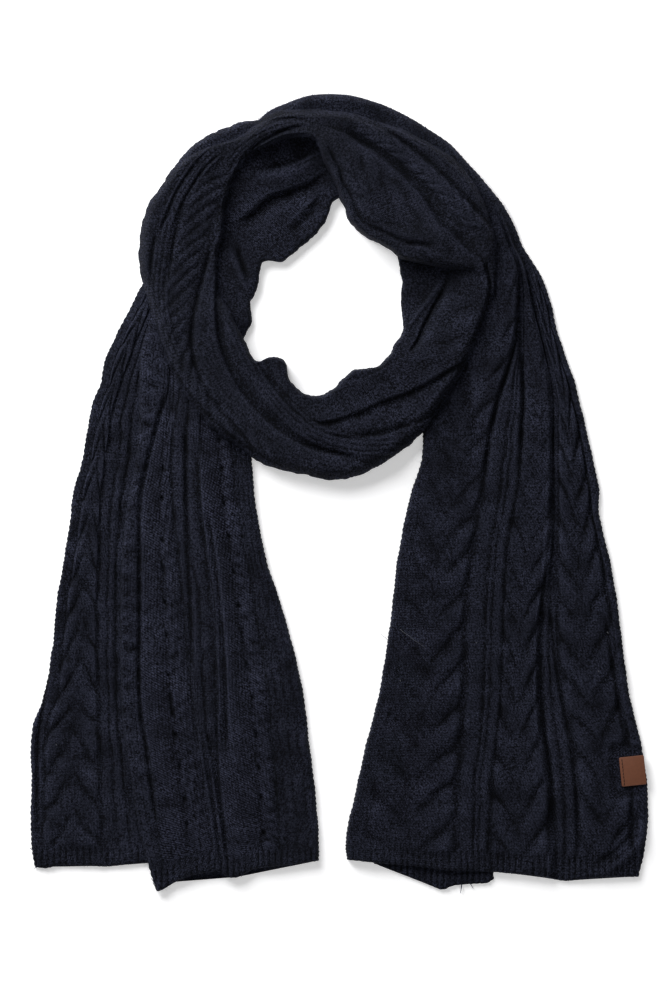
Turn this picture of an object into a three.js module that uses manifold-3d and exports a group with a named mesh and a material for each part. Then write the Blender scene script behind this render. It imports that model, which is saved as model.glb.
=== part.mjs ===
// A cable-knit scarf laid flat and wound once round an empty neck opening, with both ends hanging down.
// Millimetres, +Z up, underside on z = 0, origin at the middle of the outline's box.
import * as THREE from 'three';
import Module from 'manifold-3d';

// Driving dimensions, in millimetres
const LAID_WIDTH = 498;          // whole scarf as laid, from the left tail's corner to the right tail's edge
const WALL = 3.6;                // the knit without its raised stitches, one layer
const SEAM_GAP = 0.3;            // between two pieces that touch
const LAYER_GAP = WALL + SEAM_GAP;   // height at which a layer lies on a single one
const CABLE_RISE = 2.2;          // a cable strand above the knit beside it
const CABLE_LENGTH = 35;         // one crossing of a cable to the next, along the scarf
const CABLE_LEAN = 0.75;         // how far a crossing slants over half the cable, in crossings
const STRAND_FULLNESS = 2.5;     // 1 for a sharp strand, more for a fuller one
const CABLE_BORDER = 0.06;       // a strand's fullness kept at the cable's border and middle line
const RIB_RISE = 1.1;            // a rib above the groove beside it
const SELVEDGE_RISE = 2.0;       // the lumpy edge of the turned-back layer
const LUMP_LENGTH = 14;          // one lump of that edge to the next
const REVERSE_RISE = 1.1;        // a cable seen from its reverse side
const RIM_SHARE = 0.34;          // height of a band's side wall, as a share of its crown
const BAND_ROUND = 13;           // radius over which a wound band rounds down to its side
const TAIL_ROUND = 4;            // the same at the edge of a single or double layer
const TAIL_RIM = 2;              // height of a tail's side wall
const EDGE_SHARE = 0.3;          // height of a tail's very edge, as a share from that rim to its top
const HANG_SHARE = 0.45;         // share of a tail's rows over which it comes down from the neck
const ROW_STEP = 9.4;            // distance between two sections
const LABEL = { width: 20, height: 23.5, thick: 1.3, corner: 1.5 };
const LABEL_BED = 4.7;           // height to which the sewn label presses the knit
const SELVEDGE_REACH = 15;       // how far the turned-back layer lies on the one below, in grid steps

// How the sections are made
const FOLD_FADE = { early: 0.8, over: 1.2 };   // rows before a fold's first point, and rows to its full height
const COLUMN_CROWDING = 0.35;    // how far the points of a section crowd towards its rounded sides
const BAND_UNDERSIDE = [0.985, 0.5, 0.015];    // places across a band's flat underside
const SIDE_SHARE = 0.02;         // points nearer to a side than this belong to it
const HEM_ROWS = 2.4;            // rows over which a tail's sections bend to the hem line
const FLOOR_SINK = 2;            // how far a cutting copy reaches below the floor
const SMALL_EDGE = 0.02;         // edges shorter than this are closed up after a cut

// The layout grid: places in the tables below are in its steps, x to the right and y down.
const LAID_WIDTH_STEPS = 622;
const GRID = LAID_WIDTH / LAID_WIDTH_STEPS;
const GRID_MIDDLE = { x: 339.75, y: 492.3 };
const toPart = (x, y) => [(x - GRID_MIDDLE.x) * GRID, (GRID_MIDDLE.y - y) * GRID];

const mix = (a, b, f) => a + (b - a) * f;
const clamp01 = (f) => Math.max(0, Math.min(1, f));
const smooth = (f) => clamp01(f) ** 2 * (3 - 2 * clamp01(f));
const table = (names, rows) => {
  const columns = names.split(' ');
  return rows.map((row) => Object.fromEntries(columns.map((name, i) => [name, row[i]])));
};

// Sections of the front loop, clockwise from under the flap on the right to the upper left.
// in: the neck opening's side, out: the outer side; inHigh and outHigh: crown heights in mm.
const LOOP_ROWS = table('inX inY outX outY inHigh outHigh', [
  [401, 257, 499, 252, 9, 17],
  [405, 283, 498, 280, 10, 20],
  [403, 305, 494, 300, 12, 22],
  [405, 330, 484, 325, 14, 23],
  [400, 343, 474, 350, 17, 23],
  [389, 357, 462, 374, 19, 23],
  [380, 371, 448, 396, 20, 23],
  [367, 370, 431, 423, 20, 22],
  [352, 371, 408, 444, 20, 21],
  [342, 379, 385, 460, 20, 20],
  [332, 390, 362, 473, 19, 19],
  [316, 396, 334, 479, 19, 19],
  [300, 391, 300, 474, 19, 20],
  [289, 378, 266, 465, 19, 21],
  [284, 360, 238, 447, 18, 22],
  [268, 361, 212, 429, 18, 23],
  [254, 360, 190, 402, 19, 24],
  [245, 342, 174, 377, 20, 24],
  [238, 326, 163, 348, 21, 24],
  [230, 310, 154, 323, 22, 24],
  [221, 294, 147, 300, 23, 24],
  [218, 276, 142, 278, 24, 24],
  [218, 256, 140, 256, 25, 24],
  [222, 238, 141, 232, 26, 24],
  [225, 220, 145, 212, 27, 24],
  [227, 202, 152, 198, 28, 24],
  [232, 184, 162, 184, 29, 24],
]);

// Folds run along a band: path gives [row, share of the way across], rise is in mm, half its half-width.
const LOOP_FOLDS = [
  { rise: -7, half: 6, path: [[0, 0.36], [2, 0.33], [3, 0.24], [4, 0.16], [5, 0.08], [6, 0.02]] },
  { rise: 2.5, half: 3, path: [[0, 0.3], [2, 0.22], [3, 0.1]] },
  { rise: -7, half: 4.5, path: [[0, 0.86], [2, 0.9], [3, 0.9], [4, 0.88], [5, 0.86]] },
  { rise: -7, half: 5.5, path: [[4.6, 0.93], [5, 0.86], [6, 0.68], [7, 0.5], [8, 0.45], [9, 0.4], [10, 0.35],
    [11, 0.3], [12, 0.28], [13, 0.23], [14, 0.26], [15, 0.08]] },
  { rise: -6, half: 5, path: [[7, 0.96], [8, 0.84], [9, 0.7], [10, 0.57], [11, 0.49], [12, 0.5], [13, 0.48],
    [14, 0.47], [15, 0.37], [16, 0.27], [17, 0.2], [18, 0.14]] },
  { rise: -8, half: 6, path: [[9, 0.96], [10, 0.83], [11, 0.71], [12, 0.69], [13, 0.67], [14, 0.64],
    [15, 0.54], [16, 0.42], [17, 0.33], [18, 0.28], [19, 0.19], [20, 0.06]] },
  { rise: -5, half: 4.5, path: [[12, 0.95], [13, 0.86], [14, 0.8], [15, 0.72], [16, 0.69], [17, 0.66],
    [18, 0.57], [19, 0.44], [20, 0.33], [21, 0.24], [22, 0.17], [23, 0.14], [24, 0.1]] },
  { rise: -4, half: 4.5, path: [[17, 0.95], [19, 0.92], [21, 0.87], [23, 0.82], [25, 0.78], [26, 0.76]] },
  { rise: -3.5, half: 4, path: [[20, 0.66], [22, 0.59], [24, 0.55], [26, 0.5]] },
];
const LOOP_CABLES = [
  { from: [[10, 0.72], [12, 0.72], [14, 0.8], [17, 0.68], [19, 0.46], [21, 0.26], [23, 0.12], [26, 0.06]],
    to: [[10, 1], [14, 1], [17, 0.92], [20, 0.8], [22, 0.72], [26, 0.6]], point: -1 },
  { from: [[1, 0.42], [3, 0.28], [5, 0.14], [8, 0.04]],
    to: [[1, 0.84], [3, 0.86], [5, 0.8], [8, 0.4]], point: 1 },
];

// Sections of the upper pass behind the neck, from the seam at the upper left over the top to the flap.
const OVER_ROWS = table('inX inY outX outY inHigh outHigh bow', [
  [232, 184, 162, 184, 29, 24, 0],
  [240, 168, 174, 168, 30, 25, 0],
  [247, 159, 190, 154, 31, 26, 0],
  [257, 151, 212, 145, 32, 27, 0],
  [268, 146, 236, 137, 33, 28, 0],
  [280, 141, 256, 123, 34, 29, 0],
  [290, 139, 272, 112, 35, 29, 0],
  [300, 138, 290, 109, 36, 29, 0],
  [309, 139, 312, 109, 36, 29, 0],
  [316, 144, 334, 110, 36, 29, 0],
  [320, 152, 356, 114, 36, 29, 0],
  [323, 162, 378, 121, 35, 28, 0],
  [329, 172, 400, 128, 35, 28, 0],
  [334, 184, 420, 137, 34, 27, 0],
  [339, 196, 440, 148, 34, 26, 0],
  [344, 208, 458, 161, 34, 26, 0],
  [352, 222, 474, 180, 34, 25, 0],
  [364, 234, 485, 200, 34, 25, 0],
  [378, 241, 492, 220, 34, 25, 0],
  [389, 247, 497, 240, 33, 25, -1],
  [396, 253, 499, 257, 33, 25, -3],
  [401, 259, 498, 274, 32, 25, -4],
]);
const OVER_FOLDS = [
  { rise: -6, half: 2.6, path: [[0, 0.3], [2, 0.22], [4, 0.24], [6, 0.34], [7, 0.36]] },
  { rise: -5, half: 2.4, path: [[4.5, 0.9], [6, 0.66], [7, 0.62], [8, 0.6], [9, 0.5]] },
  { rise: -7, half: 5, path: [[10, 0.62], [12, 0.6], [14, 0.62], [16, 0.63], [18, 0.72], [20, 0.83],
    [21, 0.9]] },
  { rise: -4, half: 2.6, path: [[10, 0.8], [12, 0.84], [14, 0.86], [16, 0.88], [18, 0.95]] },
  { rise: -3, half: 2.5, path: [[11, 0.12], [13, 0.13], [15, 0.12], [17, 0.14], [19, 0.16], [21, 0.2]] },
];
const OVER_CABLES = [
  { from: [[9, 0.1], [13, 0.14], [17, 0.16], [21, 0.16]],
    to: [[9, 0.44], [13, 0.5], [17, 0.48], [21, 0.8]], point: 1 },
  { from: [[0, 0.34], [5, 0.4]], to: [[0, 0.9], [5, 0.9]], point: -1 },
];

// Sections of the lower pass behind the neck, from beside the loop on the left to under the flap.
const UNDER_ROWS = table('inX inY outX outY inHigh outHigh', [
  [243, 339, 205, 350, 7, 8],
  [250, 322, 192, 328, 8, 9],
  [250, 302, 178, 300, 9, 10],
  [257, 284, 168, 270, 9, 12],
  [261, 266, 160, 236, 9, 14],
  [268, 259, 160, 204, 9, 15],
  [280, 259, 166, 179, 9, 16],
  [293, 251, 178, 160, 9, 17],
  [307, 238, 198, 143, 9, 17],
  [318, 226, 224, 128, 9, 17],
  [326, 213, 252, 119, 9, 17],
  [333, 200, 280, 120, 9, 16],
  [346, 196, 310, 130, 9, 15],
  [362, 196, 345, 140, 9, 14],
]);
const UNDER_FOLDS = [
  { rise: 6, half: 9, path: [[3, 0.44], [5, 0.42], [6, 0.5], [7, 0.54], [9, 0.52], [10, 0.5], [11, 0.5],
    [13, 0.5]] },
  { rise: -6, half: 7, path: [[7, 0.76], [8, 0.74], [9, 0.76], [10, 0.76], [12, 0.76]] },
  { rise: -4, half: 5, path: [[5, 0.14], [6, 0.28], [8, 0.34], [10, 0.3], [12, 0.26]] },
  { rise: 3, half: 5, path: [[0, 0.6], [2, 0.16], [3, 0.18], [4, 0.32]] },
];

// Sections of the outer roll over the top and the right shoulder, which runs down into the right tail.
const SHOULDER_ROWS = table('inX inY outX outY inHigh outHigh', [
  [274, 121, 266, 112, 13, 11],
  [290, 121, 284, 102, 15, 13],
  [312, 120, 312, 94.5, 17, 14],
  [336, 121, 346, 95, 18, 15],
  [358, 125, 375, 103, 18, 15],
  [382, 133, 400, 113.5, 18, 15],
  [405, 144, 427, 126.5, 18, 15],
  [427, 156, 451, 142, 18, 15],
  [446, 171, 474, 164, 18, 15],
  [462, 190, 491, 187, 18, 14],
  [474, 210, 503, 207, 18, 13],
  [480, 229, 512, 224, 18, 12],
  [484, 246, 522, 244, 18, 11],
  [486, 262, 533, 262, 18, 10],
]);
const SHOULDER_FOLDS = [
  { rise: -3.5, half: 2, path: [[10, 0.86], [11, 0.82], [12, 0.72], [13, 0.64]] },
  { rise: 2, half: 4, path: [[2, 0.6], [6, 0.6], [10, 0.64], [13, 0.5]] },
];

// Sections of the right tail, from the shoulder down to the hem. The X columns are lane borders.
const RIGHT_LANE_BORDERS = 'leftX leftY panelX ribsX panelTwoX pleatX ribsTwoX panelThreeX edgeX rightX rightY';
const RIGHT_ROWS = table(RIGHT_LANE_BORDERS, [
  [486, 262, 494, 511, 516, 521, 524, 526, 530, 533, 262],
  [484, 282, 493, 513, 520, 526, 529, 531, 539, 544, 282],
  [478, 306, 490, 514, 522, 531, 534, 537, 547, 552, 306],
  [468, 332, 480, 513, 522, 537, 540, 543, 553, 558, 332],
  [456, 357, 469, 507, 521, 543, 546, 549, 560, 566, 357],
  [442, 382, 456, 500, 521, 549, 552, 555, 568, 575, 382],
  [428, 406, 443, 493, 520, 551, 554, 558, 574, 581, 406],
  [423, 431, 434, 488, 519, 551, 554, 558, 579, 586, 431],
  [422, 458, 432, 485, 518, 551, 554, 558, 584, 592, 458],
  [413, 488, 425, 481, 515, 552, 555, 558, 589, 598, 488],
  [405, 517, 416, 477, 511, 552, 555, 558, 593, 600, 515],
  [398, 558, 409, 472, 506, 549, 552, 557, 602, 609, 556],
  [392, 605, 403, 467, 503, 542, 546, 557, 610, 618, 603],
  [388, 640, 399, 466, 502, 539, 543, 557, 615, 622, 640],
  [378, 698, 390, 465, 500, 539, 544, 563, 621, 629, 698],
  [366, 745, 379, 462, 495, 542, 547, 573, 629, 640, 742],
  [356, 790, 370, 459, 490, 549, 554, 577, 632, 648, 790],
  [346, 836, 361, 457, 488, 551, 556, 578, 633, 647, 836],
  [347, 859, 361, 457, 487, 549, 554, 574, 630, 639, 874],
]);
// Lanes across the right tail: heights in mm at each side, near the loop and at the hem.
const RIGHT_LANES = table('kind from to columns topFrom topTo hemFrom hemTo point', [
  ['plain', 'leftX', 'panelX', 2, 7, 11, 6.5, 8, 0],
  ['cable', 'panelX', 'ribsX', 8, 11, 15, 8, 7.8, 1],
  ['ribs', 'ribsX', 'panelTwoX', 8, 12, 9, 7.4, 7, 4],
  ['cable', 'panelTwoX', 'pleatX', 6, 8, 11, 6.4, 8.2, 1],
  ['plain', 'pleatX', 'ribsTwoX', 1, 11, 6, 8.2, 3.8, 0],
  ['ribs', 'ribsTwoX', 'panelThreeX', 4, 6, 6, 3.8, 4, 2],
  ['cable', 'panelThreeX', 'edgeX', 8, 6, 5.5, 4, 4.4, 1],
  ['plain', 'edgeX', 'rightX', 2, 5.5, 4, 4.6, 4, 0],
]);
const RIGHT_FOLDS = [
  { rise: -4, half: 3, path: [[0, 0.64], [2, 0.53], [4, 0.49], [6, 0.47], [9, 0.4]] },
];
const RIGHT_HEM = [[346, 859], [420, 866], [450, 871], [495, 872], [540, 876], [565, 880], [600, 877],
  [640, 876]];

// The layer turned under the right tail, which shows below its hem.
const TURNED_UNDER_ROWS = table('leftX leftY rightX rightY', [
  [372, 806, 490, 806],
  [372, 835, 492, 835],
  [374, 862, 494, 880],
]);
const TURNED_UNDER_LANES = table('kind from to columns topFrom topTo hemFrom hemTo point', [
  ['plain', 'leftX', 'rightX', 12, WALL, WALL, WALL, WALL, 0],
]);
const TURNED_UNDER_HEM = [[374, 863], [420, 880], [443, 889], [452, 884], [466, 883], [490, 882], [494, 877]];

// Sections of the left tail's lower layer, right side up, whose inner part lies under the turned-back layer.
const LEFT_ROWS = table('leftX leftY panelX ribsX rightX rightY', [
  [144, 284, 148, 158, 170, 292],
  [130, 311, 136, 148, 168, 318],
  [116, 335, 124, 138, 158, 340],
  [104, 362, 113, 128, 152, 366],
  [100, 384, 108, 121, 150, 386],
  [92, 404, 101, 114, 150, 406],
  [87, 430, 95, 110, 149, 431],
  [81, 464, 89, 105, 146, 464],
  [73, 492, 82, 102, 140, 492],
  [70, 525, 79, 100, 134, 525],
  [65, 560, 74, 99, 131, 560],
  [58, 600, 67, 98, 130, 600],
  [54, 643, 63, 98, 130, 643],
  [44, 694, 56, 99, 131, 694],
  [33, 731, 46, 100, 134, 731],
  [32, 785, 44, 101, 143, 785],
  [31, 835, 43, 103, 151, 835],
  [34, 866, 45, 104, 158, 862],
]);
const LEFT_LANES = table('kind from to columns topFrom topTo hemFrom hemTo point', [
  ['plain', 'leftX', 'panelX', 2, 4, 6, 4.4, 4, 0],
  ['cable', 'panelX', 'ribsX', 6, 6, 7, 3.8, 3.8, -1],
  ['ribs', 'ribsX', 'rightX', 6, 7, 3.6, 3.8, 3.6, 3],
]);
const LEFT_HEM = [[33, 867], [46, 869], [59, 865], [107, 866], [144, 862], [158, 862]];

// Sections of the layer turned back over the left tail, reverse side up, from its selvedge to the fold.
const BACK_ROWS = table('leftX leftY valleyX cableX ribsX pleatX lumpX ribsTwoX rightX rightY', [
  [150, 318, 168, 176, 182, 196, 206, 214, 228, 330],
  [141, 352, 168, 176, 182, 198, 209, 220, 238, 362],
  [139, 384, 168, 174, 180, 199, 212, 225, 244, 392],
  [139, 412, 161, 170, 176, 200, 214, 229, 248, 420],
  [138, 436, 154, 165, 172, 200, 217, 231, 250, 441],
  [135, 466, 147, 162, 171, 200, 220, 233, 252, 466],
  [128, 500, 141, 160, 172, 201, 222, 236, 255, 500],
  [124, 530, 140, 160, 175, 204, 226, 241, 260, 530],
  [121, 566, 139, 161, 179, 209, 231, 248, 268, 566],
  [120, 605, 139, 163, 183, 215, 236, 255, 281, 605],
  [120, 647, 139, 165, 186, 216, 242, 261, 293, 647],
  [121, 695, 140, 168, 188, 214, 250, 268, 303, 692],
  [124, 735, 145, 173, 191, 208, 254, 271, 308, 733],
  [132, 786, 154, 180, 199, 211, 258, 275, 314, 780],
  [139, 828, 157, 185, 206, 218, 261, 278, 318, 824],
  [156, 886, 166, 190, 211, 222, 263, 280, 319, 861],
]);
const BACK_LANES = table('kind from to columns topFrom topTo hemFrom hemTo point', [
  ['selvedge', 'leftX', 'valleyX', 3, 12, 10, 8, 8, 0],
  ['plain', 'valleyX', 'cableX', 2, 6, 7, 7.2, 7.2, 0],
  ['reverse', 'cableX', 'ribsX', 3, 8, 10, 7.4, 7.6, 0],
  ['ribs', 'ribsX', 'pleatX', 6, 10, 10, 7.6, 7.0, 3],
  ['plain', 'pleatX', 'lumpX', 3, 6, 8, 9.2, 7.6, 0],
  ['reverse', 'lumpX', 'ribsTwoX', 3, 8, 9, 7.4, 7.4, 0],
  ['ribs', 'ribsTwoX', 'rightX', 6, 9, 7, 7.4, 7, 3],
]);
const BACK_HEM = [[155, 890], [159, 891], [172, 885], [189, 877], [221, 872], [226, 878], [238, 878],
  [254, 869], [280, 866], [320, 861]];

// The leather label's middle on the right tail's outer edge, its turn in degrees, and the knit pressed under it
const LABEL_PLACE = { x: 633, y: 771, turn: 6 };
const PRESSED = { fromX: 606, fromY: 740, toY: 803 };

// One column of a table as a curve through its rows, t counting rows
function along(rows, name, t) {
  const last = rows.length - 1;
  const i = Math.max(0, Math.min(Math.floor(t), last - 1));
  const f = t - i;
  const value = (k) => rows[Math.max(0, Math.min(last, k))][name] ?? 0;
  const [a, b, c, d] = [value(i - 1), value(i), value(i + 1), value(i + 2)];
  return 0.5 * (2 * b + (c - a) * f + (2 * a - 5 * b + 4 * c - d) * f * f + (3 * b - a - 3 * c + d) * f ** 3);
}

// A list of [place, value] pairs as straight stretches, held at both ends
function stepped(pairs, at) {
  if (at <= pairs[0][0]) return pairs[0][1];
  for (let i = 1; i < pairs.length; i += 1) {
    if (at <= pairs[i][0]) {
      const [[x0, y0], [x1, y1]] = [pairs[i - 1], pairs[i]];
      return mix(y0, y1, (at - x0) / (x1 - x0));
    }
  }
  return pairs.at(-1)[1];
}

// A quarter round from 0 at a border to 1 at a distance of radius
const quarterRound = (distance, radius) => Math.sqrt(1 - (1 - clamp01(distance / radius)) ** 2);

// The raised strands of a cable: p runs across its panel, length along it, point says which way its V opens
function cableRise(p, length, point) {
  const inward = 1 - Math.abs(2 * p - 1);
  const phase = length / CABLE_LENGTH - CABLE_LEAN * point * inward;
  const strand = 1 - Math.abs(2 * (phase - Math.floor(phase)) - 1) ** STRAND_FULLNESS;
  const across = mix(CABLE_BORDER, 1 - CABLE_BORDER, inward);
  return CABLE_RISE * strand * Math.sqrt(Math.sin(Math.PI * across));
}
const ribRise = (p, count) => RIB_RISE * 0.5 * (1 - Math.cos(2 * Math.PI * count * p));
const lumps = (length, step) => 0.5 + 0.5 * Math.sin((2 * Math.PI * length) / step);
const selvedgeRise = (p, length) =>
  SELVEDGE_RISE * Math.sin(Math.PI * p) * mix(0.5, 1, lumps(length, LUMP_LENGTH));
const reverseRise = (p, length) => REVERSE_RISE * Math.sin(Math.PI * p) * lumps(length, CABLE_LENGTH / 2);

// Folds that run along a stretch, each a soft ridge or trough that fades at its two ends
function foldRise(folds, t, u, width) {
  let sum = 0;
  for (const { rise, half, path } of folds) {
    const first = path[0][0];
    const last = path.at(-1)[0];
    const fadeFrom = (rowsIn) => smooth((rowsIn + FOLD_FADE.early) / FOLD_FADE.over);
    const fade = fadeFrom(t - first) * fadeFrom(last - t);
    if (fade === 0) continue;
    const distance = (u - stepped(path, t)) * width;
    sum += rise * fade * Math.exp(-((distance / half) ** 2));
  }
  return sum;
}

// The length of a stretch up to each of its rows, and places along it at even steps
function measure(rows, corner) {
  const lengths = [0];
  const middle = (row) => {
    const [x0, y0, x1, y1] = corner(row);
    return toPart((x0 + x1) / 2, (y0 + y1) / 2);
  };
  for (let i = 1; i < rows.length; i += 1) {
    const [x0, y0] = middle(rows[i - 1]);
    const [x1, y1] = middle(rows[i]);
    lengths.push(lengths[i - 1] + Math.hypot(x1 - x0, y1 - y0));
  }
  const pairs = lengths.map((length, i) => [i, length]);
  const back = lengths.map((length, i) => [length, i]);
  const count = Math.round(lengths.at(-1) / ROW_STEP);
  const steps = Array.from({ length: count + 1 }, (_, k) => stepped(back, (lengths.at(-1) * k) / count));
  return { steps, lengthAt: (t) => stepped(pairs, t) };
}

// A closed solid through rings of points: each ring goes out over the top and back along the underside
function solidFromRings(rings, topCount) {
  const size = rings[0].length;
  const positions = rings.flat(2);
  const faces = [];
  const quad = (a, b, c, d) => faces.push(a, b, c, a, c, d);
  for (let i = 0; i + 1 < rings.length; i += 1) {
    for (let j = 0; j < size; j += 1) {
      const k = (j + 1) % size;
      quad(i * size + j, i * size + k, (i + 1) * size + k, (i + 1) * size + j);
    }
  }
  // Each end is closed by strips between the top points and the fewer underside points nearest to them
  const point = (a) => positions.slice(3 * a, 3 * a + 2);
  const apart = (a, b) => Math.hypot(point(a)[0] - point(b)[0], point(a)[1] - point(b)[1]);
  const cap = (base, turned) => {
    const face = (a, b, c) => faces.push(...(turned ? [a, c, b] : [a, b, c]));
    let low = base + size - 1;
    for (let top = base; top + 1 < base + topCount; top += 1) {
      const lastTop = top + 2 === base + topCount;
      face(top, top + 1, low);
      while (low > base + topCount && (lastTop || apart(top + 1, low - 1) < apart(top + 1, low))) {
        face(top + 1, low - 1, low);
        low -= 1;
      }
    }
  };
  cap(0, true);
  cap((rings.length - 1) * size, false);
  return { positions, faces };
}

// Which way the rows follow each other: 1 where they go to the right of the line from in to out, else -1
function rowsTurn(rows) {
  const [a, b] = rows;
  const [alongX, alongY] = [b.inX + b.outX - a.inX - a.outX, a.inY + a.outY - b.inY - b.outY];
  return Math.sign((a.inY - a.outY) * alongX - (a.outX - a.inX) * alongY);
}

// A wound band: sections from its inner to its outer side, rounded at both, flat below
function band({ rows, folds, cables = [], columns, grow = 0 }) {
  const corner = (row) => [row.inX, row.inY, row.outX, row.outY];
  const { steps, lengthAt } = measure(rows, corner);
  const rings = steps.map((t, step) => {
    let [x0, y0] = toPart(along(rows, 'inX', t), along(rows, 'inY', t));
    let [x1, y1] = toPart(along(rows, 'outX', t), along(rows, 'outY', t));
    const width = Math.hypot(x1 - x0, y1 - y0);
    // A grown copy is longer at both ends too
    const end = (step === steps.length - 1) - (step === 0);
    const reach = (grow * end * rowsTurn(rows)) / width;
    const [endX, endY] = [(y1 - y0) * reach, (x0 - x1) * reach];
    [x0, y0, x1, y1] = [x0 + endX, y0 + endY, x1 + endX, y1 + endY];
    const bow = along(rows, 'bow', t) * GRID;
    const place = (u) => {
      const v = u + (grow / width) * ((u > 1 - SIDE_SHARE) - (u < SIDE_SHARE));
      const sag = (4 * bow * u * (1 - u)) / width;
      return [mix(x0, x1, v) - (y1 - y0) * sag, mix(y0, y1, v) + (x1 - x0) * sag];
    };
    const ring = [];
    for (let j = 0; j <= columns; j += 1) {
      const u = mix(j / columns, 0.5 - 0.5 * Math.cos((Math.PI * j) / columns), COLUMN_CROWDING);
      const crown = mix(along(rows, 'inHigh', t), along(rows, 'outHigh', t), smooth(u));
      const round = quarterRound(u * width, BAND_ROUND) * quarterRound((1 - u) * width, BAND_ROUND);
      let z = crown * (RIM_SHARE + (1 - RIM_SHARE) * round) + foldRise(folds, t, u, width) * round;
      for (const { from, to, point } of cables) {
        const p = (u - stepped(from, t)) / (stepped(to, t) - stepped(from, t));
        const here = t >= from[0][0] && t <= from.at(-1)[0];
        if (here && p > 0 && p < 1) z += cableRise(p, lengthAt(t), point) * round;
      }
      ring.push([...place(u), z + grow]);
    }
    for (const u of BAND_UNDERSIDE) ring.push([...place(u), grow > 0 ? -FLOOR_SINK : 0]);
    return ring;
  });
  return solidFromRings(rings, columns + 1);
}

// A laid tail: lanes of cable, ribs and plain knit between the tables' lane borders, ended by a hem line
function tail({ rows, lanes, folds = [], hem, under = () => 0, pressed = () => false, underside,
  hemRows = HEM_ROWS, grow = 0 }) {
  const corner = (row) => [row.leftX, row.leftY, row.rightX, row.rightY];
  const { steps, lengthAt } = measure(rows, corner);
  const last = rows.length - 1;
  const rings = steps.map((t) => {
    const [left, right] = [along(rows, 'leftX', t), along(rows, 'rightX', t)];
    const [leftY, rightY] = [along(rows, 'leftY', t), along(rows, 'rightY', t)];
    const width = (right - left) * GRID;
    const toHem = smooth((t - last + hemRows) / hemRows);
    const place = (x) => {
      const line = mix(leftY, rightY, (x - left) / (right - left));
      const end = mix(rows[last].leftY, rows[last].rightY, (x - left) / (right - left));
      const [partX, partY] = toPart(x, line + toHem * (stepped(hem, x) - end));
      const side = (x >= right - 0.01) - (x <= left + 0.01);
      return [partX + grow * side, partY + grow * ((t === 0) - (t === last))];
    };
    const down = smooth(t / (HANG_SHARE * last));
    const ring = [];
    lanes.forEach((lane, k) => {
      const [from, to] = [along(rows, lane.from, t), along(rows, lane.to, t)];
      for (let i = k ? 1 : 0; i <= lane.columns; i += 1) {
        const p = i / lane.columns;
        const x = mix(from, to, p);
        const u = (x - left) / (right - left);
        const round = quarterRound(u * width, TAIL_ROUND) * quarterRound((1 - u) * width, TAIL_ROUND);
        const top = mix(lane.topFrom, lane.topTo, p);
        const low = mix(lane.hemFrom, lane.hemTo, p);
        const length = lengthAt(t);
        let z = mix(top, low, down) + foldRise(folds, t, u, width);
        if (lane.kind === 'cable') z += cableRise(p, length, lane.point);
        if (lane.kind === 'ribs') z += ribRise(p, lane.point);
        if (lane.kind === 'selvedge') z += selvedgeRise(p, length);
        if (lane.kind === 'reverse') z += reverseRise(p, length);
        if (pressed(x, mix(leftY, rightY, u))) z = Math.min(z, LABEL_BED);
        const rim = under(t, x) + TAIL_RIM;
        ring.push([...place(x), mix(rim, Math.max(z, rim), mix(EDGE_SHARE, 1, round)) + grow]);
      }
    });
    for (const share of underside) {
      const x = mix(left, right, share);
      ring.push([...place(x), under(t, x) - grow]);
    }
    return ring;
  });
  return solidFromRings(rings, rings[0].length - underside.length);
}

const wasm = await Module();
wasm.setup();

// A solid with its faces out, whichever way its rings ran round
function toSolid({ positions, faces }) {
  const made = (triVerts) => new wasm.Manifold(new wasm.Mesh({
    numProp: 3,
    vertProperties: new Float32Array(positions),
    triVerts: new Uint32Array(triVerts),
  }));
  const solid = made(faces);
  return solid.volume() > 0 ? solid : made([...faces].reverse());
}

// What shows of a piece, without the grown copies of what lies on it: its two largest bodies, largest first
function cutBy(solid, covers) {
  let rest = solid;
  for (const cover of covers) rest = rest.subtract(cover);
  const bodies = rest.decompose().sort((a, b) => b.volume() - a.volume());
  return bodies.slice(0, 2).map((body) => body.asOriginal().simplify(SMALL_EDGE));
}

function toMesh(name, solid, { color, roughness }) {
  const { vertProperties, triVerts, numProp } = solid.getMesh();
  const count = vertProperties.length / numProp;
  const positions = new Float32Array(count * 3);
  for (let i = 0; i < count; i += 1) {
    positions.set(vertProperties.subarray(i * numProp, i * numProp + 3), i * 3);
  }
  const geometry = new THREE.BufferGeometry();
  geometry.setAttribute('position', new THREE.BufferAttribute(positions, 3));
  geometry.setIndex(new THREE.BufferAttribute(new Uint32Array(triVerts), 1));
  geometry.computeVertexNormals();
  const mesh = new THREE.Mesh(geometry, new THREE.MeshStandardMaterial({ color, roughness, metalness: 0 }));
  mesh.name = name;
  return mesh;
}

const KNIT = { color: 0x191b23, roughness: 0.95 };
const LEATHER = { color: 0x734128, roughness: 0.6 };

const BANDS = {
  loop: { rows: LOOP_ROWS, folds: LOOP_FOLDS, cables: LOOP_CABLES, columns: 22 },
  over: { rows: OVER_ROWS, folds: OVER_FOLDS, cables: OVER_CABLES, columns: 18 },
  under: { rows: UNDER_ROWS, folds: UNDER_FOLDS, columns: 16 },
  shoulder: { rows: SHOULDER_ROWS, folds: SHOULDER_FOLDS, columns: 10 },
};
const solids = {};
const grown = {};
for (const [name, shape] of Object.entries(BANDS)) {
  solids[name] = toSolid(band(shape));
  grown[name] = toSolid(band({ ...shape, grow: SEAM_GAP }));
}

// Where a tail's upper layer stands off the floor for the one below it
const underBack = (t, x) => (x < along(BACK_ROWS, 'leftX', t) + SELVEDGE_REACH ? LAYER_GAP : 0);
const RECESS = { fromRow: 15.9, fromX: 362, toX: 510 };
const underRight = (t, x) => (t > RECESS.fromRow && x > RECESS.fromX && x < RECESS.toX ? LAYER_GAP : 0);

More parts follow.
